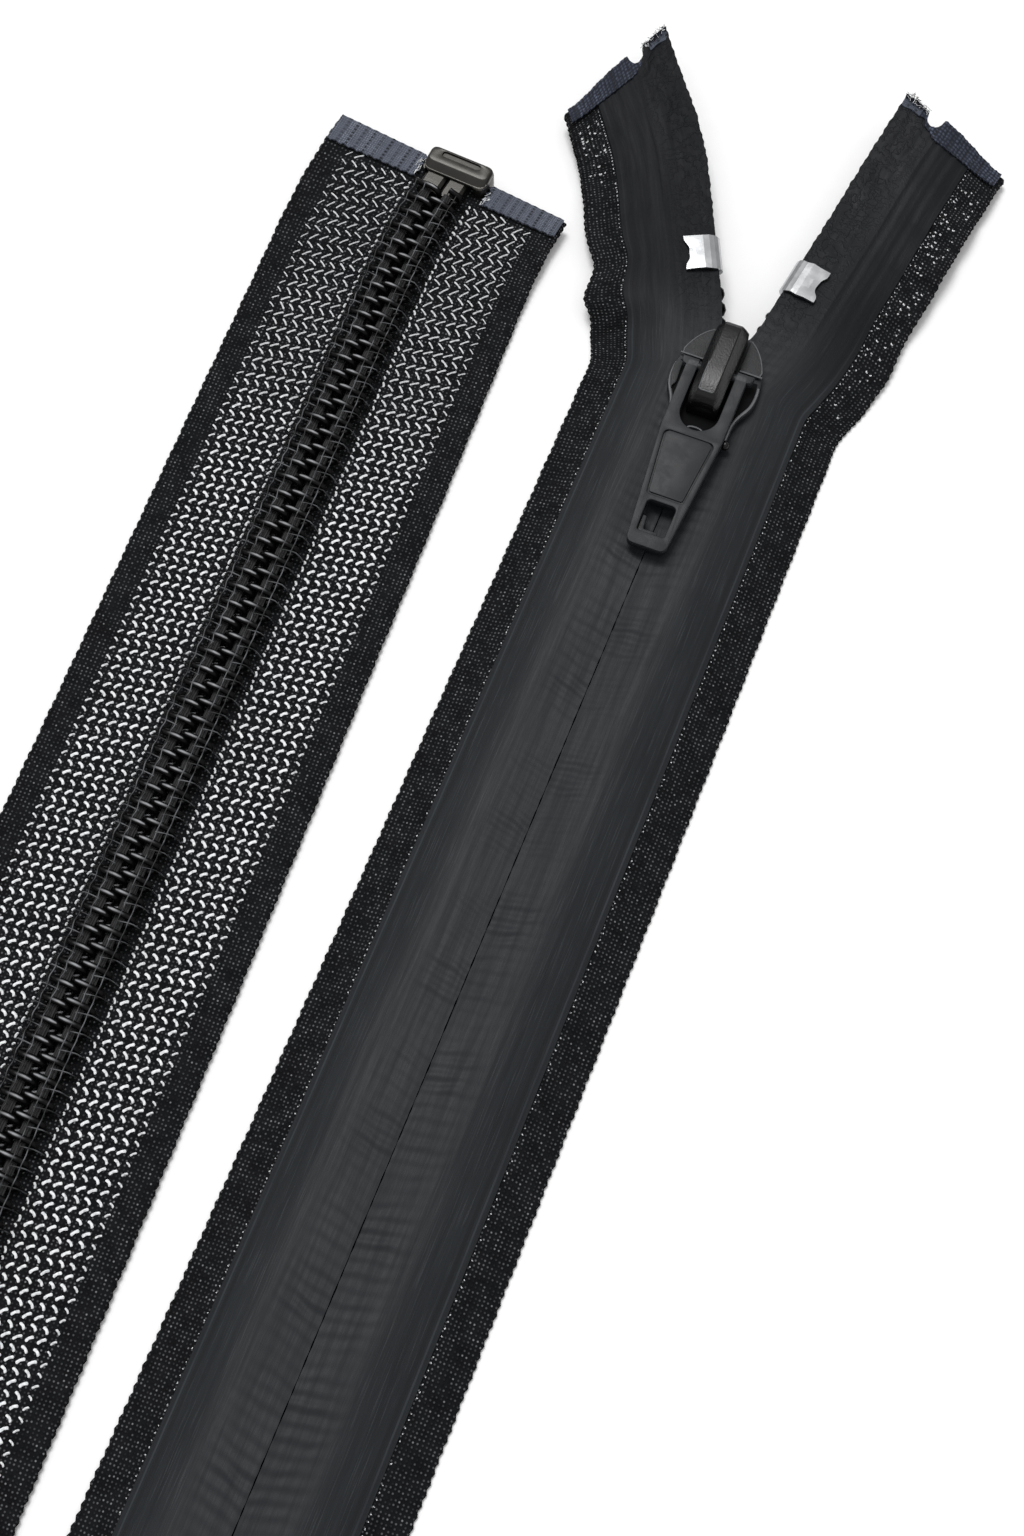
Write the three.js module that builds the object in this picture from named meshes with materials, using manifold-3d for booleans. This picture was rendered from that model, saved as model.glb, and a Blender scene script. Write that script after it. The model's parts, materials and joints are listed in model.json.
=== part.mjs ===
// An open-ended coil zipper with a water-repellent face, folded back on itself in a loop with half
// a twist, so that its top end lies face up and its bottom end lies with its back up.
// Millimetres. The origin is on the table under the slider. +Y runs up the chain, +Z is up.
import * as THREE from "three";
import { mergeVertices } from "three/addons/utils/BufferGeometryUtils.js";
import Module from "manifold-3d";

const wasm = await Module();
wasm.setup();
const { degToRad, lerp, smoothstep } = THREE.MathUtils;

// Clearance between two pieces that touch on the real zipper
const seat = 0.3;
// How far a cutting solid runs past the face that it cuts
const overrun = 1;

// Each tape half is a woven strip; the film is glued to its face, short of the sewing margin
const tape = { halfWidth: 20.4, thick: 0.7, slit: 0.3, stiffWidth: 6.5, tuck: 0.8 };
const film = { halfWidth: 14.5, thick: 0.22, glue: 0.1 };

// The coil is one filament a side. Its hooks reach past the middle of the chain.
const coil = { pitch: 2.7, wire: 0.95, reach: 4.4, hook: 0.9, height: 3.1, chamfer: 0.6 };
const curls = { count: 44, steps: 8, sides: 5, boxiness: 0.6 };
const coreCord = { width: 1.6, thick: 0.5 };
const sewing = { width: 1.1, thick: 0.25 };
const tooth = { length: 1.2, ramp: 0.15, count: 3 };

// Lengths along the zipper, from the point where the halves begin to part to the bottom end
const run = { parting: 155, straight: 32, loop: 176, back: 213.2, endBend: 26, endLift: 1.1, endAside: 1 };
const loopShape = { turn: degToRad(177.95), focus: 6.5, steps: 24 };
const endTurn = degToRad(14);
const pathSteps = 1200;

// The two upper ends, each an arm that leans out of the slider. An arm's inner edge turns by each
// of its turns in order, at a distance beyond the split, and its weave follows over a longer way.
const split = 1.5;
const mouth = { lean: degToRad(17), over: 4, weaveOver: 26, weaveLead: 7 };
const leftArm = {
  side: -1,
  length: 67.5,
  slant: 9.8,
  stopAt: 21.7,
  turns: [
    { at: 9, over: 7, angle: degToRad(7), weaveOver: 24 },
    { at: 33, over: 22, angle: degToRad(13), weaveOver: 26 },
  ],
  innerHeights: { near: 5.9, middle: 4.6, tip: 5.2 },
  outerHeights: { near: 3.2, middle: 1.6, tip: 3.0 },
};
const rightArm = {
  side: 1,
  length: 62,
  slant: 2.4,
  stopAt: 21.2,
  turns: [
    { at: 8, over: 8, angle: degToRad(-9), weaveOver: 22 },
    { at: 40, over: 16, angle: degToRad(2), weaveOver: 20 },
  ],
  innerHeights: { near: 5.8, middle: 4.8, tip: 5.6 },
  outerHeights: { near: 1.2, middle: 2.6, tip: 1.4 },
};
const arm = { step: 3, rippleHeight: 0.7, rippleLength: 17, slantOver: 26, nearAt: 18, middleAt: 40 };
const patch = { width: 2.3, thick: 0.3 };
const notch = { radius: 1.8, across: 6, sides: 14 };
const stop = { length: 5.4, depth: 4.6, metal: 0.45 };

// The bottom end: a reinforcement band on each half, two pins and the box that holds them
const band = { width: 4.1, thick: 0.3, inset: 0.5 };
const pin = { width: 3.3, thick: 1.6, length: 6, bevel: 0.45 };
const boxTurn = degToRad(3.5);
const box = {
  aside: 0.7,
  halfWidth: 5.3,
  length: 4.2,
  overhang: 1.2,
  floor: 0.8,
  roof: 0.75,
  slope: 1,
  bevel: 0.5,
  recess: 0.3,
  recessMargin: 2.1,
  recessLength: 1,
  recessInset: 0.6,
};

// The slider casting: two plates joined by a wedge, with flanges that keep the coils in
const noseShare = 0.46;
const bellyShare = 0.44;
const hipShare = 0.5;
const plate = {
  bottom: 1.2,
  top: 1.2,
  nose: 10,
  tail: 9.6,
  shoulder: 6.75,
  shoulderAt: 0.4,
  waist: 4.95,
  waistAt: 6.3,
  corner: 1.1,
};
const flange = { thick: 0.9, from: 9.3 };
const ledge = { raise: 0.35, at: 3.0 };
const wedge = { blunt: 0.5, end: 9.5 };
const pawlHole = { halfWidth: 1.15, from: 4.0, to: 2.1 };
const lug = { halfWidth: 1.3, length: 0.5, height: 1.9 };

// The cover over the lock, the leaf spring and the pawl
const domeShare = 0.55;
const cover = { halfWidth: 2.45, nose: 9.3, tail: 5.5, height: 4.6, wall: 0.7, roof: 0.85, bevel: 0.8 };
const pawl = { width: 1.6, thick: 0.6, hingeAt: 7.4, hingeHeight: 0.6, tipAt: 3.6, rise: 2, lift: 0.05 };
const spring = { width: 1.6, thick: 0.2, from: 7.6, to: 3.2, drop: 0.65 };

// The pull tab swings on its own crossbar, which passes under the cover
const pull = {
  thick: 1.5,
  axleAt: 1.4,
  axleHeight: 1.6,
  axleRadius: 0.7,
  armHalf: 4.65,
  gapHalf: 2.9,
  earHalf: 5.5,
  earLength: 1.3,
  headroom: 0.85,
  gapEnd: 10.3,
  shoulderEnd: 11,
  length: 30.2,
  tipHalf: 3.0,
  corner: 0.7,
  holeHalf: 2.15,
  holeFrom: 23,
  holeTo: 28.2,
  panelHalf: 3.4,
  panelTipHalf: 2.6,
  panelFrom: 11.7,
  panelTo: 22,
  panelDepth: 0.2,
};
const pullTilt = degToRad(2.5);

// Heights that follow from the stack of plate, coil, tape and film, measured from the tape's face
const filmTop = film.glue + film.thick;
const coilTop = -(tape.thick + seat);
const coilMiddle = coilTop - coil.height / 2;
const coilBottom = coilTop - coil.height;
const runHeight = plate.bottom + seat - coilBottom;
const drop = runHeight - tape.thick;
const plateUnder = runHeight + filmTop + seat;
const plateTop = plateUnder + plate.top;
const total = run.straight + run.loop + run.back;
const pinStart = total - seat - pin.length;
const curlsEnd = pinStart - seat - coil.wire / 2;
const curlsStart = curlsEnd - curls.count * coil.pitch;
const sides = [
  [-1, "left"],
  [1, "right"],
];

const fabric = { color: 0x17181a, roughness: 0.9, metalness: 0 };
const laminate = { color: 0x35383b, roughness: 0.55, metalness: 0 };
const nylon = { color: 0x0c0c0e, roughness: 0.3, metalness: 0 };
const threadLook = { color: 0x7d8084, roughness: 0.8, metalness: 0 };
const slate = { color: 0x4a5268, roughness: 0.8, metalness: 0 };
const gunmetal = { color: 0x5a5854, roughness: 0.4, metalness: 0.9 };
const matteBlack = { color: 0x2b2d2f, roughness: 0.5, metalness: 0.4 };
const glossBlack = { color: 0x0b0b0c, roughness: 0.15, metalness: 0.3 };
const steel = { color: 0x9a9a98, roughness: 0.35, metalness: 1 };
const aluminium = { color: 0xd4d6d8, roughness: 0.3, metalness: 1 };

// Faces that point inwards are turned round
function outward(points, index) {
  let volume = 0;
  for (let i = 0; i < index.length; i += 3) {
    const [a, b, c] = [points[index[i]], points[index[i + 1]], points[index[i + 2]]];
    volume += a.dot(b.clone().cross(c));
  }
  if (volume < 0) index.reverse();
  const geometry = new THREE.BufferGeometry().setFromPoints(points);
  geometry.setIndex(index);
  return geometry;
}

// A closed solid whose section, a ring of [across, up] points, is carried along a list of stations.
// Quads are split along the same diagonal above and below, so that twisted layers stay parallel.
// The second half of a ring faces its first half, point for point, and the end caps join the two.
function sweep(place, stations, sectionAt) {
  const sections = stations.map(sectionAt);
  const count = sections[0].length;
  const points = stations.flatMap((s, i) => sections[i].map(([u, w]) => place(s, u, w)));
  const index = [];
  for (let i = 0; i < stations.length - 1; i++) {
    for (let j = 0; j < count; j++) {
      const a = i * count + j;
      const b = i * count + ((j + 1) % count);
      const rising = sections[i][(j + 1) % count][0] >= sections[i][j][0];
      if (rising) index.push(a, b, b + count, a, b + count, a + count);
      else index.push(a, b, a + count, b, b + count, a + count);
    }
  }
  const last = (stations.length - 1) * count;
  for (let j = 0; j < count / 2 - 1; j++) {
    const [a, b, c, d] = [j, j + 1, count - 2 - j, count - 1 - j];
    index.push(a, d, c, a, c, b);
    index.push(last + a, last + b, last + c, last + a, last + c, last + d);
  }
  return outward(points, index);
}

// A flat layer across the tape
function layer(across, low, high) {
  const top = across.map((u) => [u, high]);
  const under = across.toReversed().map((u) => [u, low]);
  return [...top, ...under];
}

// A closed solid from a geometry, ready to be joined or cut
function solid(geometry) {
  const bare = geometry.clone();
  bare.deleteAttribute("normal");
  bare.deleteAttribute("uv");
  const merged = mergeVertices(bare);
  const vertProperties = new Float32Array(merged.attributes.position.array);
  const triVerts = new Uint32Array(merged.index.array);
  return new wasm.Manifold(new wasm.Mesh({ numProp: 3, vertProperties, triVerts }));
}

function fromSolid(manifold) {
  const mesh = manifold.getMesh();
  const positions = new Float32Array(mesh.vertProperties);
  const geometry = new THREE.BufferGeometry();
  geometry.setAttribute("position", new THREE.BufferAttribute(positions, 3));
  geometry.setIndex([...mesh.triVerts]);
  return geometry;
}

const join = (...geometries) =>
  fromSolid(geometries.map(solid).reduce((whole, next) => whole.add(next)));
const cut = (geometry, ...tools) =>
  fromSolid(tools.map(solid).reduce((left, tool) => left.subtract(tool), solid(geometry)));

// A block between two corners
function block(x0, x1, y0, y1, z0, z1) {
  const geometry = new THREE.BoxGeometry(x1 - x0, y1 - y0, z1 - z0);
  return geometry.translate((x0 + x1) / 2, (y0 + y1) / 2, (z0 + z1) / 2);
}

// A flat shape raised from one height to another
function raised(shape, z0, z1, curveSegments = 6) {
  const options = { depth: z1 - z0, bevelEnabled: false, curveSegments };
  return new THREE.ExtrudeGeometry(shape, options).translate(0, 0, z0);
}

// A shape drawn in the plane of Y and Z, given a width across X
function sideways(shape, width, bevel = 0) {
  const options = {
    depth: width - 2 * bevel,
    bevelEnabled: bevel > 0,
    bevelThickness: bevel,
    bevelSize: bevel,
    bevelOffset: -bevel,
    bevelSegments: 2,
    curveSegments: 6,
  };
  const geometry = new THREE.ExtrudeGeometry(shape, options).translate(0, 0, bevel - width / 2);
  const turn = new THREE.Matrix4();
  turn.makeBasis(new THREE.Vector3(0, 1, 0), new THREE.Vector3(0, 0, 1), new THREE.Vector3(1, 0, 0));
  return geometry.applyMatrix4(turn);
}

function polygon(corners) {
  return new THREE.Shape(corners.map(([x, y]) => new THREE.Vector2(x, y)));
}

// The centre line on the table, from the parting point down the run, round the loop and back.
// The chain bends most where it stands on edge, in the middle of the loop.
function centreLine() {
  const step = total / pathSteps;
  const bendAt = (s) => {
    const share = (s - run.straight) / run.loop;
    return share > 0 && share < 1 ? Math.sin(Math.PI * share) ** loopShape.focus : 0;
  };
  const middles = Array.from({ length: pathSteps }, (_, i) => (i + 0.5) * step);
  const bendSum = middles.reduce((sum, s) => sum + bendAt(s), 0);
  const rows = [{ x: 0, y: -run.parting, heading: -Math.PI / 2 }];
  let bent = 0;
  for (const s of middles) {
    bent += bendAt(s) / 2;
    const ending = smoothstep(s, total - run.endBend, total + run.endBend / 2);
    const heading = -Math.PI / 2 - (loopShape.turn * bent) / bendSum - endTurn * ending;
    bent += bendAt(s) / 2;
    const { x, y } = rows.at(-1);
    rows.push({ x: x + step * Math.cos(heading), y: y + step * Math.sin(heading), heading });
  }
  return rows;
}
const centreRows = centreLine();

function rowAt(rows, share) {
  const place = THREE.MathUtils.clamp(share, 0, 1) * (rows.length - 1);
  const low = Math.min(Math.floor(place), rows.length - 2);
  const mix = place - low;
  const row = {};
  for (const key of Object.keys(rows[0])) row[key] = lerp(rows[low][key], rows[low + 1][key], mix);
  return row;
}

// How far the tape has come down from the chain's height, from 0 beside the chain to 1 at its edge
const droopShare = (u) => smoothstep(Math.abs(u), tape.stiffWidth, tape.halfWidth);

// A point of the lower zipper: s along it, u across it and w out of its face
function onRun(s, u, w) {
  const { x, y, heading } = rowAt(centreRows, s / total);
  const roll = Math.PI * THREE.MathUtils.clamp((s - run.straight) / run.loop, 0, 1);
  const upright = Math.max(Math.cos(roll), 0) ** 2;
  const lift = run.endLift * smoothstep(s, total - run.endBend, total - box.length);
  const height = lerp(filmTop, runHeight, upright) + tape.halfWidth * Math.sin(roll) + lift;
  const shift = run.endAside * smoothstep(s, total - run.endBend, total) * (Math.abs(u) / tape.halfWidth - 1);
  const across = u - Math.sign(u) * tape.tuck * upright * droopShare(u) - shift;
  const up = w - drop * upright * droopShare(u);
  const aside = Math.cos(roll) * across + Math.sin(roll) * up;
  return new THREE.Vector3(
    x - Math.sin(heading) * aside,
    y + Math.cos(heading) * aside,
    height - Math.sin(roll) * across + Math.cos(roll) * up,
  );
}

// Each arm's inner edge and the lean of its weave, from the parting point to the tip
function armRows(own) {
  const step = (run.parting + own.length) / pathSteps;
  const rows = [{ out: 0, y: -run.parting, weave: 0 }];
  for (let i = 0; i < pathSteps; i++) {
    const beyond = (i + 0.5) * step - run.parting - split;
    let lean = mouth.lean * smoothstep(beyond, 0, mouth.over);
    let weave = mouth.lean * smoothstep(beyond, -mouth.weaveLead, mouth.weaveOver - mouth.weaveLead);
    for (const turn of own.turns) {
      const lag = (turn.weaveOver - turn.over) / 2;
      lean += turn.angle * smoothstep(beyond, turn.at, turn.at + turn.over);
      weave += turn.angle * smoothstep(beyond, turn.at - lag, turn.at + turn.over + lag);
    }
    const { out, y } = rows.at(-1);
    rows.push({ out: out + step * Math.sin(lean), y: y + step * Math.cos(lean), weave });
  }
  return rows;
}
for (const own of [leftArm, rightArm]) own.rows = armRows(own);

// Heights given near the slider, midway and at the tip, joined by smooth steps
function heightAlong(base, heights, beyond, tip) {
  const near = lerp(base, heights.near, smoothstep(beyond, plate.nose, arm.nearAt));
  const middle = lerp(near, heights.middle, smoothstep(beyond, arm.nearAt, arm.middleAt));
  return lerp(middle, heights.tip, smoothstep(beyond, arm.middleAt, tip));
}

// A point of an arm: s from the parting point, u from the slit outwards and w out of its face
function onArm(own, s, u, w) {
  const end = run.parting + own.length;
  const slanted = s - (own.slant * u * smoothstep(s, end - arm.slantOver, end)) / tape.halfWidth;
  const { out, y, weave } = rowAt(own.rows, slanted / end);
  const beyond = slanted - run.parting;
  const rippling = arm.rippleHeight * smoothstep(beyond, plate.nose, arm.middleAt);
  const ripple = rippling * Math.sin((2 * Math.PI * beyond) / arm.rippleLength);
  const inner = heightAlong(runHeight, own.innerHeights, beyond, own.length);
  const outer = heightAlong(tape.thick, own.outerHeights, beyond, own.length) + Math.abs(ripple);
  const across = u - tape.tuck * droopShare(u);
  return new THREE.Vector3(
    own.side * (out + across * Math.cos(weave)),
    y - across * Math.sin(weave),
    lerp(inner, outer, droopShare(u)) + w,
  );
}

const spread = (from, to, steps) => Array.from({ length: steps + 1 }, (_, i) => lerp(from, to, i / steps));

const loopStations = spread(run.straight, run.straight + run.loop, loopShape.steps);
const bendStations = spread(total - run.endBend, total, 6);
const lowerStations = [0, ...loopStations, ...bendStations];

function armStations(own) {
  const from = run.parting - mouth.weaveLead;
  const patchFrom = run.parting + own.length - patch.width;
  return [seat, ...spread(from, patchFrom, Math.round((patchFrom - from) / arm.step))];
}

const slitHalf = tape.slit / 2;
const filmColumns = [slitHalf, tape.stiffWidth / 2, tape.stiffWidth];
filmColumns.push((tape.stiffWidth + film.halfWidth) / 2, film.halfWidth);
const tapeColumns = [...filmColumns, tape.halfWidth];

// The coil's outer shape, where its turns aren't shown one by one
function coilSection(inner) {
  const [near, far] = [Math.max(inner, 0) + coil.chamfer, coil.reach - coil.chamfer];
  return [
    [inner, coilTop - coil.chamfer],
    [near, coilTop],
    [far, coilTop],
    [coil.reach, coilTop - coil.chamfer],
    [coil.reach, coilBottom + coil.chamfer],
    [far, coilBottom],
    [near, coilBottom],
    [inner, coilBottom + coil.chamfer],
  ];
}

const mirrored = (side, section) => section.map(([u, w]) => [side * u, w]);
const root = new THREE.Group();
root.name = "zipper";

function add(parent, name, geometry, look) {
  const mesh = new THREE.Mesh(geometry, new THREE.MeshStandardMaterial(look));
  mesh.name = name;
  parent.add(mesh);
  return mesh;
}

// The lower zipper: from the parting point round the loop to the bottom end
function lowerHalf(side, name) {
  const along = (section) => () => mirrored(side, section);
  const cloth = sweep(onRun, lowerStations, along(layer(tapeColumns, -tape.thick, 0)));
  const skin = sweep(onRun, lowerStations, along(layer(filmColumns, film.glue, filmTop)));
  const railStations = [0, ...loopStations, curlsStart - coil.wire];
  const rail = sweep(onRun, railStations, along(coilSection(slitHalf)));
  add(root, name + "_tape", cloth, fabric);
  add(root, name + "_film", skin, laminate);
  add(root, name + "_coil_rail", rail, nylon);
}

// The route of one filament: a flattened helix, whose hooks reach past the middle of the chain
function filament(side) {
  const halfAcross = (coil.reach + coil.hook - coil.wire) / 2;
  const middle = coil.reach - coil.wire / 2 - halfAcross;
  const halfUp = (coil.height - coil.wire) / 2;
  const phase = side > 0 ? 0.5 : 0;
  const steps = (curls.count - phase) * curls.steps;
  return Array.from({ length: steps + 1 }, (_, i) => {
    const turn = i / curls.steps;
    const angle = 2 * Math.PI * turn;
    const rise = Math.sign(Math.sin(angle)) * Math.abs(Math.sin(angle)) ** curls.boxiness;
    const s = curlsStart + coil.pitch * (turn + phase);
    const u = side * (middle + halfAcross * Math.cos(angle));
    return onRun(s, u, coilMiddle + halfUp * rise);
  });
}

// The smallest distance between two points of the wire that lie more than half a curl apart,
// less the wire's thickness
function leastGap(route) {
  let least = Infinity;
  for (let i = 0; i < route.length; i++) {
    const far = Math.min(route.length, i + 3 * curls.steps);
    for (let j = i + curls.steps / 2; j < far; j++) least = Math.min(least, route[i].distanceTo(route[j]));
  }
  return least - coil.wire;
}

// One unbroken tube along a route. Its rings are squared up to the chain's own direction.
function wire(route, along) {
  const points = [];
  const radius = coil.wire / 2;
  for (let i = 0; i < route.length; i++) {
    const before = route[Math.max(i - 1, 0)];
    const after = route[Math.min(i + 1, route.length - 1)];
    const ahead = after.clone().sub(before).normalize();
    const first = along.clone().addScaledVector(ahead, -along.dot(ahead)).normalize();
    const second = ahead.clone().cross(first);
    for (let k = 0; k < curls.sides; k++) {
      const angle = (2 * Math.PI * k) / curls.sides;
      const point = route[i].clone().addScaledVector(first, radius * Math.cos(angle));
      points.push(point.addScaledVector(second, radius * Math.sin(angle)));
    }
  }
  const index = [];
  for (let i = 0; i < route.length - 1; i++) {
    for (let k = 0; k < curls.sides; k++) {
      const a = i * curls.sides + k;
      const b = i * curls.sides + ((k + 1) % curls.sides);
      index.push(a, b, b + curls.sides, a, b + curls.sides, a + curls.sides);
    }
  }
  const last = (route.length - 1) * curls.sides;
  for (let k = 1; k < curls.sides - 1; k++) index.push(0, k + 1, k, last, last + k, last + k + 1);
  return outward(points, index);
}

// The coil that shows: one filament a side, its core cord and the thread that sews it down
function shownCoil(side, name) {
  const route = filament(side);
  const chainWay = onRun(curlsEnd, 0, 0).sub(onRun(curlsStart, 0, 0)).normalize();
  console.log(name + "_coil least gap to itself", leastGap(route).toFixed(2));
  add(root, name + "_coil", wire(route, chainWay), nylon);

  const stations = [curlsStart, ...bendStations.filter((s) => s < curlsEnd), curlsEnd];
  const coreAt = (coil.reach - coil.hook) / 2;
  const core = layer(
    [coreAt - coreCord.width / 2, coreAt + coreCord.width / 2],
    coilMiddle - coreCord.thick / 2,
    coilMiddle + coreCord.thick / 2,
  );
  add(root, name + "_core_cord", sweep(onRun, stations, () => mirrored(side, core)), fabric);

  const seam = layer(
    [coil.reach / 2 - sewing.width / 2, coil.reach / 2 + sewing.width / 2],
    coilBottom - seat - sewing.thick,
    coilBottom - seat,
  );
  add(root, name + "_sewing_thread", sweep(onRun, stations, () => mirrored(side, seam)), threadLook);
}

// The bottom end: the reinforcement bands, the two pins and the retainer box
function bottomEnd() {
  const bandHigh = -(tape.thick + seat);
  const bandStations = spread(total - band.width, total, 2);
  for (const [side, name] of sides) {
    const from = box.halfWidth + side * box.aside + 2 * seat;
    const columns = [from, film.halfWidth, tape.halfWidth - band.inset];
    const section = mirrored(side, layer(columns, bandHigh - band.thick, bandHigh));
    const strip = sweep(onRun, bandStations, () => section);
    add(root, name + "_end_band", strip, slate);
  }

  // Each pin stands on the tape's edge beside the slit, where its coil ends
  const pinStations = spread(pinStart, total - seat, 3);
  const pinUnder = coilTop - pin.thick;
  const pinFar = slitHalf + pin.width;
  const pinSection = [
    [slitHalf, pinUnder + pin.bevel],
    [slitHalf, coilTop],
    [pinFar, coilTop],
    [pinFar, pinUnder + pin.bevel],
    [pinFar - pin.bevel, pinUnder],
    [slitHalf + pin.bevel, pinUnder],
  ];
  const pinBody = (side) => sweep(onRun, pinStations, () => mirrored(side, pinSection));
  add(root, "retainer_pin", pinBody(-1), gunmetal);
  add(root, "insertion_pin", pinBody(1), gunmetal);
  root.add(retainerBox());
}

// The box, drawn with the tape's end at its own zero and the table under it. The tape's end lies in
// a slot through the whole width, and the pins in a pocket above it.
function retainerBox() {
  const face = filmTop + run.endLift;
  const tapeBack = face + tape.thick;
  const pocketTop = face - coilTop + pin.thick + seat;
  const [near, far, top] = [box.overhang - box.length, box.overhang, pocketTop + box.roof];
  const floor = face - filmTop - seat - box.floor;
  const profile = polygon([
    [near, floor],
    [far, floor],
    [far, top],
    [near + box.slope, top],
    [near, top - box.slope],
  ]);
  const shell = sideways(profile, 2 * box.halfWidth, box.bevel);
  const skew = box.halfWidth * Math.sin(boxTurn);
  const wide = box.halfWidth + overrun;
  const pinRoom = slitHalf + pin.width + seat + skew;
  const slot = block(-wide, wide, near - overrun, seat + skew, face - filmTop - seat, tapeBack + seat);
  const pinsAt = -box.aside;
  const pocket = block(pinsAt - pinRoom, pinsAt + pinRoom, near - overrun, skew, face, pocketTop);
  const recessHalf = box.halfWidth - box.recessMargin;
  const recessTo = far - box.recessInset;
  const recess = block(
    -recessHalf,
    recessHalf,
    recessTo - box.recessLength,
    recessTo,
    top - box.recess,
    top + overrun,
  );
  const group = new THREE.Group();
  const end = onRun(total, box.aside, 0);
  group.position.set(end.x, end.y, 0);
  group.rotation.z = centreRows.at(-1).heading + 1.5 * Math.PI + boxTurn;
  add(group, "retainer_box", cut(shell, slot, pocket, recess), gunmetal);
  return group;
}

// The upper half of the zipper: tape, film, coil, end patch and top stop of one arm
function upperHalf(own, name) {
  const side = own.side;
  const place = (s, u, w) => onArm(own, s, u, w);
  const end = run.parting + own.length;
  const stations = armStations(own);
  const patchStations = spread(stations.at(-1), end, 2);
  const flap = new THREE.Group();
  const clothStations = [...stations.slice(0, -1), ...patchStations];
  const cloth = sweep(place, clothStations, () => layer(tapeColumns, -tape.thick, 0));
  const notchAt = place(end, notch.across, 0);
  const punch = new THREE.CylinderGeometry(notch.radius, notch.radius, 2 * tape.halfWidth, notch.sides);
  punch.rotateX(Math.PI / 2).translate(notchAt.x, notchAt.y, notchAt.z);
  add(flap, name + "_tape_top", cut(cloth, punch), fabric);

  const filmStations = [...stations.slice(0, -1), stations.at(-1) - seat];
  const skin = sweep(place, filmStations, () => layer(filmColumns, film.glue, filmTop));
  add(flap, name + "_film_top", skin, laminate);

  const strip = sweep(place, patchStations, () => layer(tapeColumns, filmTop, filmTop + patch.thick));
  add(flap, name + "_end_patch", cut(strip, punch), slate);

  // The coil's hooks show only where the arm is open, between the slider and the top stop
  const stopFrom = run.parting + own.stopAt;
  const toothStart = stopFrom - seat - tooth.count * coil.pitch;
  const coilStations = stations.filter((s) => s < toothStart - arm.step / 2);
  for (let i = 0; i < tooth.count; i++) {
    const at = toothStart + i * coil.pitch;
    coilStations.push(at, at + tooth.ramp, at + tooth.length - tooth.ramp, at + tooth.length);
  }
  coilStations.push(stopFrom - seat);
  const hookAt = (s) => {
    const along = (s - toothStart) % coil.pitch;
    const out = s > toothStart && along > tooth.ramp / 2 && along < tooth.length - tooth.ramp / 2;
    return out ? -coil.hook : slitHalf;
  };
  add(flap, name + "_coil_top", sweep(place, coilStations, (s) => coilSection(hookAt(s))), nylon);

  // The stop is a strip of metal folded over the tape's inner edge
  const [low, high] = [-(tape.thick + seat), filmTop + seat];
  const inside = slitHalf - seat;
  const outside = inside - stop.metal;
  const clip = [
    [stop.depth, high + stop.metal],
    [outside, high + stop.metal],
    [outside, low - stop.metal],
    [stop.depth, low - stop.metal],
    [stop.depth, low],
    [inside, low],
    [inside, high],
    [stop.depth, high],
  ];
  const clipStations = spread(stopFrom, stopFrom + stop.length, 2);
  add(flap, name + "_top_stop", sweep(place, clipStations, () => clip), aluminium);
  root.add(flap);
}

// Half the width of the free space between the two arms, y along the run
function openHalf(y) {
  const row = leftArm.rows.find((each) => each.y >= y);
  return row.out + slitHalf - seat;
}

// The outline of a slider plate: a rounded nose, shoulders, and a waist that runs to the tail
function plateOutline(waist) {
  const noseSwell = plate.nose * noseShare;
  const outline = new THREE.Shape();
  const side = (sign) => {
    const s = sign * plate.shoulder;
    return { s, w: sign * waist, n: sign * noseSwell };
  };
  const [r, l] = [side(1), side(-1)];
  const belly = (plate.shoulderAt + plate.nose) * bellyShare;
  const hip = plate.shoulderAt - (plate.shoulderAt + plate.waistAt) * hipShare;
  outline.moveTo(0, plate.nose);
  outline.bezierCurveTo(r.n, plate.nose, r.s, belly, r.s, plate.shoulderAt);
  outline.bezierCurveTo(r.s, hip, r.w, hip, r.w, -plate.waistAt);
  outline.lineTo(r.w, plate.corner - plate.tail);
  outline.quadraticCurveTo(r.w, -plate.tail, r.w - plate.corner, -plate.tail);
  outline.lineTo(l.w + plate.corner, -plate.tail);
  outline.quadraticCurveTo(l.w, -plate.tail, l.w, plate.corner - plate.tail);
  outline.lineTo(l.w, -plate.waistAt);
  outline.bezierCurveTo(l.w, hip, l.s, hip, l.s, plate.shoulderAt);
  outline.bezierCurveTo(l.s, belly, l.n, plate.nose, 0, plate.nose);
  return outline;
}

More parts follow.
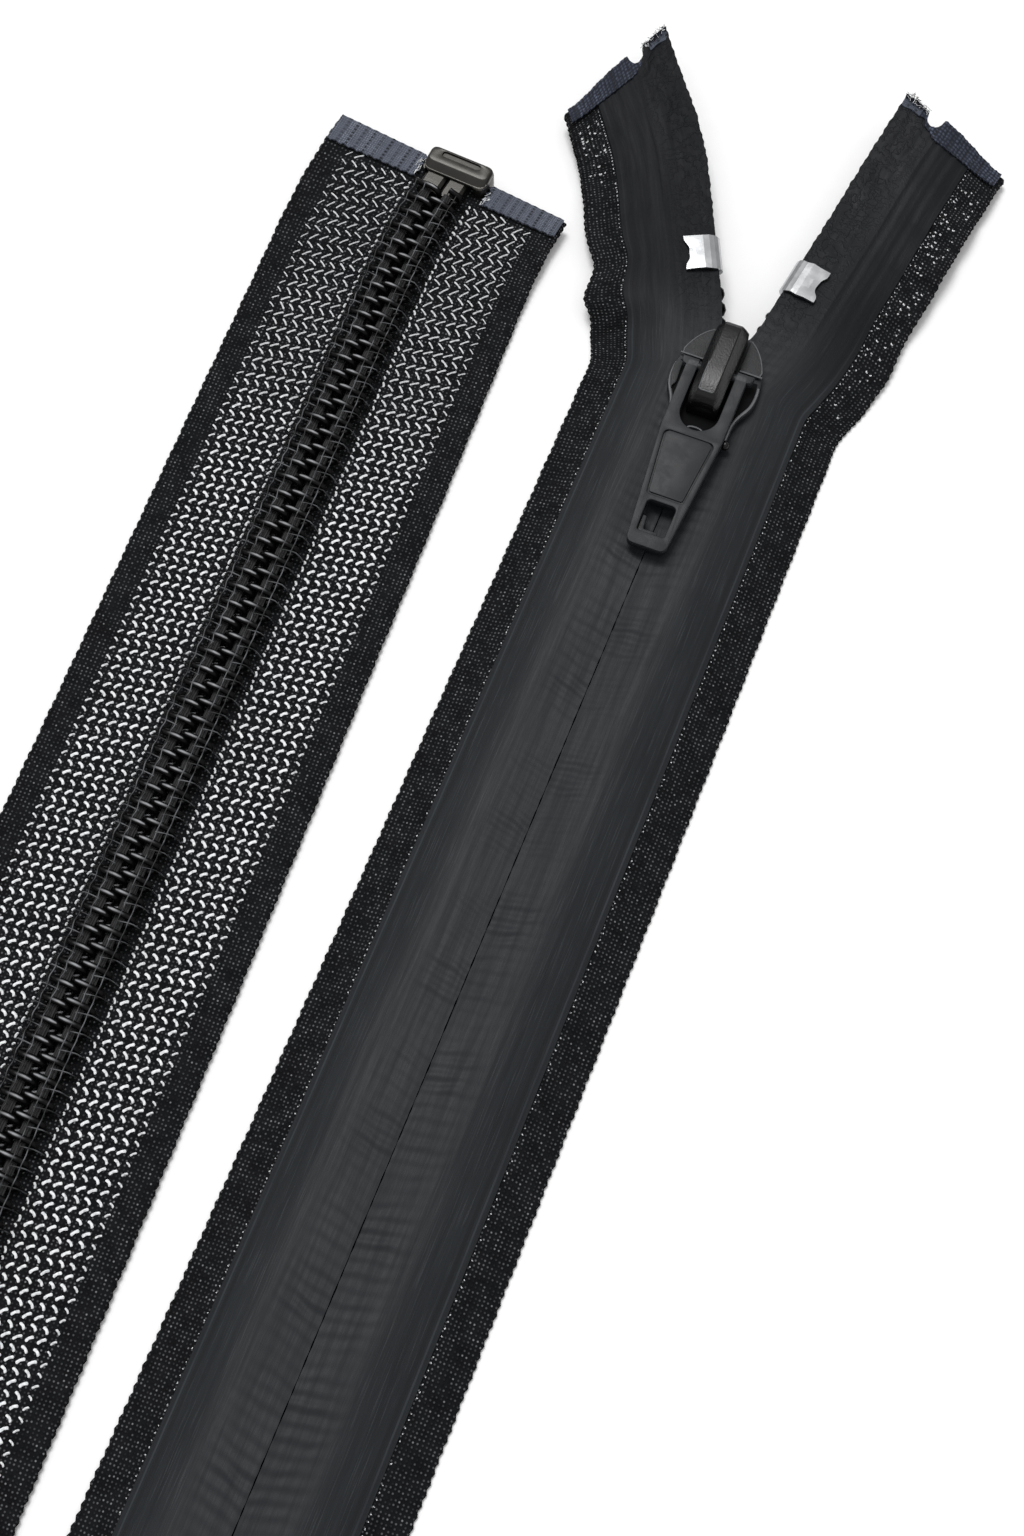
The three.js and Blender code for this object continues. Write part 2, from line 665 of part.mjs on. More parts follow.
function sliderBody() {
  const flangeFar = coil.reach + seat + flange.thick;
  const lower = raised(plateOutline(flangeFar), 0, plate.bottom);
  const upper = raised(plateOutline(plate.waist), plateUnder, plateTop);

  // The wedge parts the coils, so its sides follow the arms' inner edges
  const wedgeYs = spread(split + mouth.over, wedge.end, 3).filter((y) => openHalf(y) > wedge.blunt / 2);
  const rightSide = wedgeYs.map((y) => [openHalf(y), y]);
  const leftSide = rightSide.toReversed().map(([x, y]) => [-x, y]);
  const [low, high] = [plate.bottom / 2, plateUnder + plate.top / 2];
  const post = raised(polygon([...rightSide, ...leftSide]), low, high);

  const flangeTop = runHeight - tape.thick - seat;
  const flanges = [-1, 1].map((side) => {
    const xs = [side * (coil.reach + seat), side * flangeFar];
    return block(Math.min(...xs), Math.max(...xs), -flange.from, split, plate.bottom / 2, flangeTop);
  });

  // The nose stands a little higher than the rest, either side of the cover
  const noseTop = plateTop + ledge.raise;
  const aside = cover.halfWidth + seat;
  const nose = raised(plateOutline(plate.waist), plateUnder + plate.top / 2, noseTop);
  const behind = block(-plate.nose, plate.nose, -plate.nose - overrun, ledge.at, 0, noseTop + overrun);
  const middle = block(-aside, aside, 0, plate.nose + overrun, 0, noseTop + overrun);
  const wings = cut(nose, behind, middle);

  // Two lugs under the cover carry it
  const lugTop = plateTop + lug.height;
  const frontEnd = cover.nose - cover.wall - seat;
  const rearEnd = cover.wall + seat - cover.tail;
  const frontLug = block(-lug.halfWidth, lug.halfWidth, frontEnd - lug.length, frontEnd, plateUnder, lugTop);
  const rearLug = block(-lug.halfWidth, lug.halfWidth, rearEnd, rearEnd + lug.length, plateUnder, lugTop);
  const whole = join(lower, upper, post, ...flanges, wings, frontLug, rearLug);

  const hole = block(
    -pawlHole.halfWidth,
    pawlHole.halfWidth,
    -pawlHole.from,
    -pawlHole.to,
    plateUnder - seat,
    plateTop + overrun,
  );
  return cut(whole, hole);
}

// The cover is a domed shell, open below, with a window in each cheek for the pull's crossbar
function sliderCover() {
  const [base, top] = [plateTop + seat, plateTop + seat + cover.height];
  const dome = new THREE.Shape();
  const round = cover.height * domeShare;
  dome.moveTo(cover.nose, base - overrun);
  dome.lineTo(cover.nose, top - round);
  dome.quadraticCurveTo(cover.nose, top, cover.nose - round, top);
  dome.lineTo(round - cover.tail, top);
  dome.quadraticCurveTo(-cover.tail, top, -cover.tail, top - round);
  dome.lineTo(-cover.tail, base - overrun);
  const shell = sideways(dome, 2 * cover.halfWidth, cover.bevel);
  const wide = cover.halfWidth + overrun;
  const under = block(-wide, wide, -plate.nose - overrun, plate.nose + overrun, 0, base);
  const half = cover.halfWidth - cover.wall;
  const inner = block(-half, half, cover.wall - cover.tail, cover.nose - cover.wall, 0, top - cover.roof);
  const axle = plateTop + pull.axleHeight;
  const room = pull.axleRadius + seat;
  const window = block(-wide, wide, pull.axleAt - room, pull.axleAt + room, 0, axle + room);
  return cut(shell, under, inner, window);
}

// The pawl arches from its hinge over the crossbar and down through the hole in the top plate
function pawlShape() {
  const over = plateTop + pull.axleHeight + pull.axleRadius + seat + pawl.lift;
  const hinge = plateTop + pawl.hingeHeight;
  const tip = runHeight + filmTop + seat;
  return polygon([
    [pawl.hingeAt, hinge],
    [pawl.hingeAt, hinge + pawl.thick],
    [pawl.hingeAt - pawl.rise, over + pawl.thick],
    [-pawl.tipAt, over + pawl.thick],
    [-pawl.tipAt, tip],
    [pawl.thick - pawl.tipAt, tip],
    [pawl.thick - pawl.tipAt, over],
    [pawl.hingeAt - pawl.rise, over],
    [pawl.hingeAt - pawl.thick, hinge],
  ]);
}

// The leaf spring bears on the pawl's back from under the cover's roof
function springShape() {
  const roof = plateTop + seat + cover.height - cover.roof;
  return polygon([
    [spring.from, roof - spring.drop],
    [spring.from, roof - spring.drop + spring.thick],
    [(spring.from - spring.to) / 2, roof - seat],
    [-spring.to, roof - spring.drop + spring.thick],
    [-spring.to, roof - spring.drop],
    [(spring.from - spring.to) / 2, roof - seat - spring.thick],
  ]);
}

// The pull tab, drawn with its crossbar at zero and hanging towards -Y
function pullTab() {
  const outline = new THREE.Shape();
  const earUnder = pull.headroom - pull.earLength;
  outline.moveTo(-pull.earHalf, pull.headroom);
  outline.quadraticCurveTo(-pull.earHalf, earUnder, -pull.armHalf, earUnder);
  outline.lineTo(-pull.armHalf, -pull.shoulderEnd);
  outline.lineTo(-pull.tipHalf, pull.corner - pull.length);
  outline.lineTo(pull.corner - pull.tipHalf, -pull.length);
  outline.lineTo(pull.tipHalf - pull.corner, -pull.length);
  outline.lineTo(pull.tipHalf, pull.corner - pull.length);
  outline.lineTo(pull.armHalf, -pull.shoulderEnd);
  outline.lineTo(pull.armHalf, earUnder);
  outline.quadraticCurveTo(pull.earHalf, earUnder, pull.earHalf, pull.headroom);

  // The gap between the arms ends in a half circle, short of the panel
  const gap = new THREE.Path();
  gap.moveTo(-pull.gapHalf, 0);
  gap.lineTo(pull.gapHalf, 0);
  gap.absarc(0, pull.gapHalf - pull.gapEnd, pull.gapHalf, 0, -Math.PI, true);
  outline.holes.push(gap);

  const hole = new THREE.Path();
  hole.moveTo(-pull.holeHalf, -pull.holeTo);
  hole.lineTo(-pull.holeHalf, -pull.holeFrom);
  hole.lineTo(pull.holeHalf, -pull.holeFrom);
  hole.lineTo(pull.holeHalf, -pull.holeTo);
  outline.holes.push(hole);

  const tab = raised(outline, -pull.thick / 2, pull.thick / 2);
  const panel = polygon([
    [-pull.panelHalf, -pull.panelFrom],
    [-pull.panelTipHalf, -pull.panelTo],
    [pull.panelTipHalf, -pull.panelTo],
    [pull.panelHalf, -pull.panelFrom],
  ]);
  const recess = raised(panel, pull.thick / 2 - pull.panelDepth, pull.thick / 2 + overrun);
  const above = block(
    -pull.gapHalf - overrun / 2,
    pull.gapHalf + overrun / 2,
    -pull.axleRadius / 2,
    pull.headroom + overrun,
    -pull.thick,
    pull.thick,
  );
  const bar = new THREE.CylinderGeometry(pull.axleRadius, pull.axleRadius, 2 * pull.armHalf - seat, 12);
  bar.rotateZ(Math.PI / 2);
  return join(cut(tab, recess, above), bar);
}

function slider() {
  const group = new THREE.Group();
  add(group, "slider_body", sliderBody(), matteBlack);
  add(group, "slider_cover", sliderCover(), glossBlack);
  add(group, "lock_pawl", sideways(pawlShape(), pawl.width), steel);
  add(group, "lock_spring", sideways(springShape(), spring.width), steel);
  const tab = add(group, "pull_tab", pullTab(), matteBlack);
  tab.position.set(0, pull.axleAt, plateTop + pull.axleHeight);
  tab.rotation.x = pullTilt;
  root.add(group);
}

for (const [side, name] of sides) {
  lowerHalf(side, name);
  shownCoil(side, name);
}
bottomEnd();
upperHalf(leftArm, "left");
upperHalf(rightArm, "right");
slider();

export default root;
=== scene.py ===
# %% [markdown]
# # A separating coil zipper, folded back in a loop
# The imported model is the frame: it fixes where every piece is and what moves. This lesson puts
# the real zipper's surfaces round it: woven tape, laminated film, nylon coil, sewing threads and
# the cast slider. Lengths are written in millimetres and turned into metres when a mesh is made.

# %% Load the frame
import json
import math
import bmesh
import bpy
import numpy as np
from mathutils import Matrix, Vector, noise
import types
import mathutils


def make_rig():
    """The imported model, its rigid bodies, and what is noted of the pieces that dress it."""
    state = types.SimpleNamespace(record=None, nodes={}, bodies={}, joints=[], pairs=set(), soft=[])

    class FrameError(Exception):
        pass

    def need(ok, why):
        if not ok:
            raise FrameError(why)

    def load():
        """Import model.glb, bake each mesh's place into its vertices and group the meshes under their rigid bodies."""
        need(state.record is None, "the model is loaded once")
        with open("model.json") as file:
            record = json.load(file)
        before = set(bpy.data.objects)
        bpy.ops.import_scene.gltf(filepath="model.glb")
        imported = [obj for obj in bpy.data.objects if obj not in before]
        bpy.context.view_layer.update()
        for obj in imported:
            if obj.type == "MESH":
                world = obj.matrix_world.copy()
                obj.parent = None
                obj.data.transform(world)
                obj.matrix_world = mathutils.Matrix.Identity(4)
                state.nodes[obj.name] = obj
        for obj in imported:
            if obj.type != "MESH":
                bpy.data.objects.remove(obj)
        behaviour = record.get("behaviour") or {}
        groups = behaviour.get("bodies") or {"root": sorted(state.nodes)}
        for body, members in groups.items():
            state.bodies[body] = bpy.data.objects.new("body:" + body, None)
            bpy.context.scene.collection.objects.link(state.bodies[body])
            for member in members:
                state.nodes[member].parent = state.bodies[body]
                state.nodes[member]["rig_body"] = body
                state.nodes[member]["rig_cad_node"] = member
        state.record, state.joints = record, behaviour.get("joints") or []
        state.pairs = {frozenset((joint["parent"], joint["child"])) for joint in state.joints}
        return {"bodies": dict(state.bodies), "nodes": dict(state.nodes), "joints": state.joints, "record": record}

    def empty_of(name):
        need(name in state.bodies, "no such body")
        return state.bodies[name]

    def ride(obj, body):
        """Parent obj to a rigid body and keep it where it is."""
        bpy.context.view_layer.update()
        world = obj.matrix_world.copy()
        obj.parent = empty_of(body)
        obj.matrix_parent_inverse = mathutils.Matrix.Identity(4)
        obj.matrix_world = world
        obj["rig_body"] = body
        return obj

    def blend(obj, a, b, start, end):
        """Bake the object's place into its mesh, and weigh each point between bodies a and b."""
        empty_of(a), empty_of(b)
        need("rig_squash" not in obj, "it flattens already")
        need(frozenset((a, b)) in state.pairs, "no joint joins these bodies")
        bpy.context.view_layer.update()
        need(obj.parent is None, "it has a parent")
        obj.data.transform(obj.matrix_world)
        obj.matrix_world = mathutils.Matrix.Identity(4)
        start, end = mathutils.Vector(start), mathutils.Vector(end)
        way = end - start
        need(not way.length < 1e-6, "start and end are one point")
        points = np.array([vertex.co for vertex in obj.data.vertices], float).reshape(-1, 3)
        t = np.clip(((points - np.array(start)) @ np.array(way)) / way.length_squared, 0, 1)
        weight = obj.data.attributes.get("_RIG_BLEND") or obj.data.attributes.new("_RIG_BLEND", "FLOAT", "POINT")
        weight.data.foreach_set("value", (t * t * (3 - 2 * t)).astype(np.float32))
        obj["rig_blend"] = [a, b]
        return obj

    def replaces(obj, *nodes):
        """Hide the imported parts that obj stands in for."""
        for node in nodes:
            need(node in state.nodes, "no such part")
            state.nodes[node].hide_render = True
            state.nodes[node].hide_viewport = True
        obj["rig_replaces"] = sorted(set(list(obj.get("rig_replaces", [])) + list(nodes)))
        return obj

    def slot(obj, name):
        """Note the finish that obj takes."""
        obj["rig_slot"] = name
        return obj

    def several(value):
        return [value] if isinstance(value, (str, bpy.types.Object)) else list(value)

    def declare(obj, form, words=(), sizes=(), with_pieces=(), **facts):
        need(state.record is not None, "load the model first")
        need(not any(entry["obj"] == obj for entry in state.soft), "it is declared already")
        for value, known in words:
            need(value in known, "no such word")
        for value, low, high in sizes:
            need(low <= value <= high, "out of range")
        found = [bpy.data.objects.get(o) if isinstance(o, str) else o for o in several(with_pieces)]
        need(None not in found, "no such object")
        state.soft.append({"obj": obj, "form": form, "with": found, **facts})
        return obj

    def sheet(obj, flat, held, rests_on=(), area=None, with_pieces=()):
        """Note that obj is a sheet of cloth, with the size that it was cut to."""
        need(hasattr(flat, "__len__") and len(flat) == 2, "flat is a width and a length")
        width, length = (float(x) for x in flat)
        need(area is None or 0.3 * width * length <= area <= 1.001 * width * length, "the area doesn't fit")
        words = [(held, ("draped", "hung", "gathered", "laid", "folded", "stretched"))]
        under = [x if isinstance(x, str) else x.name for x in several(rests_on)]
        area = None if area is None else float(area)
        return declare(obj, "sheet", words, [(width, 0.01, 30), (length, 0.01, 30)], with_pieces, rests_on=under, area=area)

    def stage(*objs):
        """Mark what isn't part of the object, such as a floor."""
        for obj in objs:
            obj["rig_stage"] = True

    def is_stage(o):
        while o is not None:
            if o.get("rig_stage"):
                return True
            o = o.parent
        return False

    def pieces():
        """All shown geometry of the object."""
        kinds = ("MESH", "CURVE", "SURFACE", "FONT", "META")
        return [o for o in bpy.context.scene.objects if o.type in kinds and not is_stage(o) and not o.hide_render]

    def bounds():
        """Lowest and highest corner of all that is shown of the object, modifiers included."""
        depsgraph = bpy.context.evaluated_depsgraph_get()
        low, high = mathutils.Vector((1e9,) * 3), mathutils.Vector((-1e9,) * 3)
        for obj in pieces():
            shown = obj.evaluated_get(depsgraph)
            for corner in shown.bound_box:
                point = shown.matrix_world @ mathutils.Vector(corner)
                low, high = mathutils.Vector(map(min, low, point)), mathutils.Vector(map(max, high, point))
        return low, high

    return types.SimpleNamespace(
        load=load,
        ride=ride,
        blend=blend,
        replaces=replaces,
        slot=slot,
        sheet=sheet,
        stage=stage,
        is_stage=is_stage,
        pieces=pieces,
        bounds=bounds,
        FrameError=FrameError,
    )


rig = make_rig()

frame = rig.load()
cad_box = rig.bounds()
MM = 0.001
scene = bpy.context.scene


def put(name, data):
    made = bpy.data.objects.new(name, data)
    scene.collection.objects.link(made)
    return made


print(len(frame["nodes"]), "solids on", len(frame["bodies"]), "bodies")

# %% [markdown]
# ## The camera
# The picture is taken from above, low enough to see the near side of the slider. Blender's lens
# length belongs to the long side of the picture, because that side gets the sensor's 36 mm.

# %% Camera
EYE = Vector((37.25, -173.83, 292.57)) * MM
LOOKS_AT = Vector((-6.26, -63.92, 0)) * MM
camera = put("camera", bpy.data.cameras.new("camera"))
camera.data.lens = 52.92
camera.location = EYE
camera.rotation_euler = (LOOKS_AT - EYE).to_track_quat("-Z", "Y").to_euler()
camera.data.clip_start = 0.01
scene.camera = camera
print("camera stands", round((LOOKS_AT - EYE).length, 3), "m from the middle of the picture")

# %% [markdown]
# ## Table
# The zipper lies on a white table, which is only there to catch its shadow. It could be a shadow
# catcher, but a real pale sheet also throws light back on the metal. It is declared as stage, so
# that it isn't taken for a part.

# %% Table
table_finish = bpy.data.materials.new("white_table")
table_finish.use_nodes = True
nodes, links = table_finish.node_tree.nodes, table_finish.node_tree.links
speckle = nodes.new("ShaderNodeTexNoise")
speckle.inputs["Scale"].default_value = 900
paleness = nodes.new("ShaderNodeMix")
paleness.data_type = "RGBA"
paleness.inputs[6].default_value = (0.93, 0.93, 0.93, 1)
paleness.inputs[7].default_value = (0.95, 0.95, 0.95, 1)
links.new(speckle.outputs["Fac"], paleness.inputs[0])
links.new(paleness.outputs[2], nodes["Principled BSDF"].inputs["Base Color"])
nodes["Principled BSDF"].inputs["Roughness"].default_value = 0.9
nodes["Principled BSDF"].inputs["Specular IOR Level"].default_value = 0.1
table_mesh = bpy.data.meshes.new("table")
TABLE_HALF, TABLE_Z = 1.5, -0.00005
corners = [(x * TABLE_HALF, y * TABLE_HALF, TABLE_Z) for x, y in ((-1, -1), (1, -1), (1, 1), (-1, 1))]
table_mesh.from_pydata(corners, [], [(0, 1, 2, 3)])
table_mesh.materials.append(table_finish)
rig.stage(put("table", table_mesh))
print("table", 2 * TABLE_HALF, "m wide")

# %% [markdown]
# ## Lamp and sky
# The light is wide and soft and comes from the upper left. A sun lamp with a wide angle gives soft
# shadows that don't fade with distance. The sky is brighter overhead, so the metal has something to
# reflect. Together they add up to about one, so colours look as written.

# %% Lamp and sky
lamp = put("window_light", bpy.data.lights.new("window_light", "SUN"))
lamp.data.energy = 1.8
lamp.data.angle = math.radians(28)
lamp.rotation_euler = Vector((0.27, -0.30, -0.90)).to_track_quat("-Z", "Y").to_euler()
sky = bpy.data.worlds.new("studio_sky")
sky.use_nodes = True
nodes, links = sky.node_tree.nodes, sky.node_tree.links
facing = nodes.new("ShaderNodeTexCoord")
height = nodes.new("ShaderNodeSeparateXYZ")
glow = nodes.new("ShaderNodeMapRange")
for socket, value in zip((1, 2, 3, 4), (0.0, 0.9, 0.26, 0.78)):
    glow.inputs[socket].default_value = value
links.new(facing.outputs["Generated"], height.inputs[0])
links.new(height.outputs["Z"], glow.inputs[0])
links.new(glow.outputs[0], nodes["Background"].inputs["Strength"])
nodes["Background"].inputs["Color"].default_value = (1, 1, 1, 1)
scene.world = sky
scene.view_settings.view_transform = "Standard"
print("lamp", lamp.data.energy, "W/m2, over", round(math.degrees(lamp.data.angle)), "degrees")

# %% [markdown]
# ## The way the zipper lies
# Everything soft follows one map. It takes the distance along the zipper from the point where the
# halves part (down the run is positive, up into an arm is negative), the distance across from the
# slit and the height out of the face, and gives a point in space. With a map, each thread is a
# short list of numbers, and all of them bend together.

# %% Measures of the tape and its lay
TAPE_HALF, TAPE_THICK, SLIT_HALF = 20.4, 0.7, 0.15
STIFF_HALF, TUCK = 6.5, 0.8
FILM_HALF, FILM_UNDER, FILM_TOP = 14.5, 0.1, 0.32
PITCH = 2.7
PARTING, STRAIGHT, LOOP, BACK = 155.0, 32.0, 176.0, 213.2
TOTAL = STRAIGHT + LOOP + BACK
RUN_HEIGHT = 5.6
DROP = RUN_HEIGHT - TAPE_THICK
LOOP_TURN, LOOP_FOCUS = math.radians(177.95), 6.5
END_TURN, END_BEND, END_LIFT, END_ASIDE, BOX_LENGTH = math.radians(14), 26.0, 1.1, 1.0, 4.2
PATH_STEPS = 1200


def smooth(x, low, high):
    share = np.clip((np.asarray(x, float) - low) / (high - low), 0, 1)
    return share * share * (3 - 2 * share)


def bell(x, middle, width):
    return np.exp(-((x - middle) / width) ** 2)


def droop(across):
    return smooth(np.abs(across), STIFF_HALF, TAPE_HALF)


print("the shown zipper runs", TOTAL + PARTING, "mm from the slider to the box")

# %% [markdown]
# ## Down the run and round the loop
# The closed chain lies straight, turns over in a standing loop and comes back with its other face up.
# It could be a curve object with a twist, but the pieces need the same place in every mesh, so the
# centre line is added up from short steps and the map rolls the tape round it.

# %% The centre line of the closed chain
span = np.linspace(0, TOTAL, PATH_STEPS + 1)
middles = (span[1:] + span[:-1]) / 2
bend = np.sin(np.pi * np.clip((middles - STRAIGHT) / LOOP, 0, 1)) ** LOOP_FOCUS
bent = np.cumsum(bend) - bend / 2
turning = LOOP_TURN * bent / bend.sum()
turning = turning + END_TURN * smooth(middles, TOTAL - END_BEND, TOTAL + END_BEND / 2)
heading = -np.pi / 2 - turning
path_step = TOTAL / PATH_STEPS
centre_x = np.concatenate([[0], np.cumsum(path_step * np.cos(heading))])
centre_y = -PARTING + np.concatenate([[0], np.cumsum(path_step * np.sin(heading))])
centre_heading = np.concatenate([[-np.pi / 2], heading])


def on_run(s, u, w):
    x, y, way = (np.interp(s, span, row) for row in (centre_x, centre_y, centre_heading))
    roll = np.pi * np.clip((s - STRAIGHT) / LOOP, 0, 1)
    upright = np.maximum(np.cos(roll), 0) ** 2
    lift = END_LIFT * smooth(s, TOTAL - END_BEND, TOTAL - BOX_LENGTH)
    height = FILM_TOP + (RUN_HEIGHT - FILM_TOP) * upright + TAPE_HALF * np.sin(roll) + lift
    shift = END_ASIDE * smooth(s, TOTAL - END_BEND, TOTAL) * (np.abs(u) / TAPE_HALF - 1)
    across = u - np.sign(u) * TUCK * upright * droop(u) - shift
    up = w - DROP * upright * droop(u)
    aside = np.cos(roll) * across + np.sin(roll) * up
    z = height - np.sin(roll) * across + np.cos(roll) * up
    return np.stack([x - np.sin(way) * aside, y + np.cos(way) * aside, z], -1)


print("the box end lies at", np.round(on_run(TOTAL, 0.0, 0.0), 1))

# %% [markdown]
# ## The arms
# Above the slider the halves spread in a V, sag and ripple. Each arm has a few numbers of its own:
# where it turns, how high its inner and outer edges lie, and how its tip is slanted.

# %% The two arms above the slider
SPLIT, MOUTH_LEAN, MOUTH_OVER, WEAVE_LEAD, WEAVE_OVER = 1.5, math.radians(17), 4, 7, 26
NOSE, NEAR_AT, MIDDLE_AT, SLANT_OVER = 10.0, 18.0, 40.0, 26.0
RIPPLE, RIPPLE_LENGTH = 0.7, 17.0
SWELL_AT, PINCH_AT, BUCKLE_WIDTH = 18.5, 25.5, 3.0
ARMS = {
    -1: {
        "length": 67.5, "slant": 9.8, "stop": 21.7, "buckle": 1.0,
        "turns": [(9, 7, 7, 24), (33, 22, 13, 26)],
        "inner": (5.9, 4.6, 5.2), "outer": (3.2, 1.6, 3.0),
    },
    1: {
        "length": 62.0, "slant": 2.4, "stop": 21.2, "buckle": 0.3,
        "turns": [(8, 8, -9, 22), (40, 16, 2, 20)],
        "inner": (5.8, 4.8, 5.6), "outer": (1.2, 2.6, 1.4),
    },
}
for arm in ARMS.values():
    arm["reach"] = np.linspace(0, PARTING + arm["length"], PATH_STEPS + 1)
    beyond = (arm["reach"][1:] + arm["reach"][:-1]) / 2 - PARTING - SPLIT
    lean = MOUTH_LEAN * smooth(beyond, 0, MOUTH_OVER)
    weave = MOUTH_LEAN * smooth(beyond, -WEAVE_LEAD, WEAVE_OVER - WEAVE_LEAD)
    for at, over, angle, weave_over in arm["turns"]:
        lag = (weave_over - over) / 2
        lean = lean + math.radians(angle) * smooth(beyond, at, at + over)
        weave = weave + math.radians(angle) * smooth(beyond, at - lag, at + over + lag)
    step = arm["reach"][1]
    arm["out"] = np.concatenate([[0], np.cumsum(step * np.sin(lean))])
    arm["y"] = -PARTING + np.concatenate([[0], np.cumsum(step * np.cos(lean))])
    arm["weave"] = np.concatenate([[0], weave])


def height_along(base, heights, beyond, tip):
    near = base + (heights[0] - base) * smooth(beyond, NOSE, NEAR_AT)
    middle = near + (heights[1] - near) * smooth(beyond, NEAR_AT, MIDDLE_AT)
    return middle + (heights[2] - middle) * smooth(beyond, MIDDLE_AT, tip)


def on_arm(side, s, u, w):
    arm = ARMS[side]
    end = PARTING + arm["length"]
    s = s - arm["slant"] * u * smooth(s, end - SLANT_OVER, end) / TAPE_HALF
    out, y, weave = (np.interp(s, arm["reach"], arm[key]) for key in ("out", "y", "weave"))
    beyond = s - PARTING
    wave = RIPPLE * smooth(beyond, NOSE, MIDDLE_AT) * np.sin(2 * np.pi * beyond / RIPPLE_LENGTH)
    inner = height_along(RUN_HEIGHT, arm["inner"], beyond, arm["length"])
    outer = height_along(TAPE_THICK, arm["outer"], beyond, arm["length"]) + np.abs(wave)
    buckle = 0.9 * bell(beyond, SWELL_AT, BUCKLE_WIDTH) - 1.0 * bell(beyond, PINCH_AT, BUCKLE_WIDTH)
    across = u - TUCK * droop(u) + arm["buckle"] * droop(u) * buckle
    z = inner + (outer - inner) * droop(u) + w
    return np.stack([side * (out + across * np.cos(weave)), y - across * np.sin(weave), z], -1)


def place(side, along, across, out):
    along, across, out = np.broadcast_arrays(*(np.asarray(v, float) for v in (along, across, out)))
    down = on_run(np.maximum(along, 0), side * across, out)
    up = on_arm(side, np.maximum(-along, 0), across, out)
    return np.where((along >= 0)[..., None], down, up)


for side, arm in ARMS.items():
    print("arm tip at", np.round(place(side, -PARTING - arm["length"], 8, 0), 1))

# %% [markdown]
# ## Turning lists of points into meshes
# Strips and threads are all rings of points carried along the map, so one function joins rings
# into a closed skin. Small repeated threads are copies of one short form, set down in many frames.
# Both are worked out in numpy, because a loop over half a million points in Python is slow.

# %% Small tools and closed skins
def unit(ways):
    return ways / np.linalg.norm(ways, axis=-1, keepdims=True)


def even_steps(low, high, step):
    return np.linspace(low, high, round((high - low) / step) + 1)


def angles_round(sides):
    return 2 * np.pi * np.arange(sides) / sides


def skin(rows, ring):
    grid = np.arange(rows * ring).reshape(rows, ring)
    after = np.roll(grid, -1, axis=1)
    sides = np.stack([grid[:-1], after[:-1], after[1:], grid[1:]], -1).reshape(-1, 4)
    first, last = grid[0], grid[-1]
    pairs = [(j, j + 1, ring - 2 - j, ring - 1 - j) for j in range(ring // 2 - 1)]
    near = [[first[a], first[d], first[c], first[b]] for a, b, c, d in pairs]
    far = [[last[a], last[b], last[c], last[d]] for a, b, c, d in pairs]
    return np.vstack([sides, near, far])


def outward(points, faces):
    a, b, c, d = (points[faces[:, k]] for k in range(4))
    volume = (a * np.cross(b, c)).sum() + (a * np.cross(c, d)).sum()
    return faces if volume > 0 else faces[:, ::-1]


# %% Meshes from points
def mesh_of(name, points, faces):
    mesh = bpy.data.meshes.new(name)
    mesh.from_pydata(points.tolist(), [], outward(points, faces).tolist())
    return mesh


def put_smooth(name, mesh, sharp):
    mesh.shade_smooth()
    mesh.set_sharp_from_angle(angle=math.radians(sharp))
    return put(name, mesh)


def make_piece(name, points, faces, cloth=None, sharp=40):
    mesh = mesh_of(name, points.reshape(-1, 3) * MM, faces)
    if cloth is not None:
        corner = np.empty(len(mesh.loops), np.int32)
        mesh.loops.foreach_get("vertex_index", corner)
        layer = mesh.uv_layers.new(name="cloth")
        layer.data.foreach_set("uv", cloth.reshape(-1, 2)[corner].astype(np.float32).ravel())
    return put_smooth(name, mesh, sharp)


def many(form, form_faces, frames):
    # frames: (origin, length way, width way, height way), each an array of shape (n, 3)
    origin, *ways = frames
    points = origin[:, None] + sum(form[None, :, k, None] * ways[k][:, None] for k in range(3))
    faces = form_faces[None] + (np.arange(len(origin)) * len(form))[:, None, None]
    return points.reshape(-1, 3), faces.reshape(-1, 4)


# %% [markdown]
# ## Strips and threads
# Tape, film, bands and tips are flat strips, and cords and threads are tubes. Both could be curves
# with a bevel. Rings worked out here keep every point on the map, also across the tape, and carry
# the distances along and across as texture coordinates.

# %% Strips, threads and the frames that they stand in
def strip(name, side, along, columns, high, low, relief=None):
    # A flat layer: columns across at the height high, and the same columns back at low
    across = np.concatenate([columns, columns[::-1]])
    s, u = np.meshgrid(along, across, indexing="ij")
    top = np.arange(len(across)) < len(columns)
    w = np.where(top, high, low) + np.zeros_like(s)
    if relief is not None:
        s, u, w = relief(side, s, u, w, top)
    points = place(side, s, u, w)
    cloth = np.stack([side * u, s], -1)
    return make_piece(name, points, skin(len(along), len(across)), cloth)


def local_frames(side, s, u, w):
    d = 0.05
    here = place(side, s, u, w)
    along = place(side, s + d, u, w) - place(side, s - d, u, w)
    across = (place(side, s, u + d, w) - place(side, s, u - d, w)) * side
    along, across = unit(along), unit(across)
    out = np.cross(across, along)
    flip = np.sign(((place(side, s, u, w + d) - here) * out).sum(-1, keepdims=True))
    return here, along, across, out * flip


def thread_rings(route, radius, sides, up):
    # Rings round a route of points, squared up to the ways given so that they never twist
    ahead = unit(np.gradient(route, axis=0))
    first = unit(up - ahead * (up * ahead).sum(1, keepdims=True))
    second = np.cross(ahead, first)
    angle = angles_round(sides)
    r = np.broadcast_to(radius, (len(route), 2))
    return (route[:, None] + first[:, None] * (r[:, :1] * np.cos(angle))[..., None]
            + second[:, None] * (r[:, 1:] * np.sin(angle))[..., None])


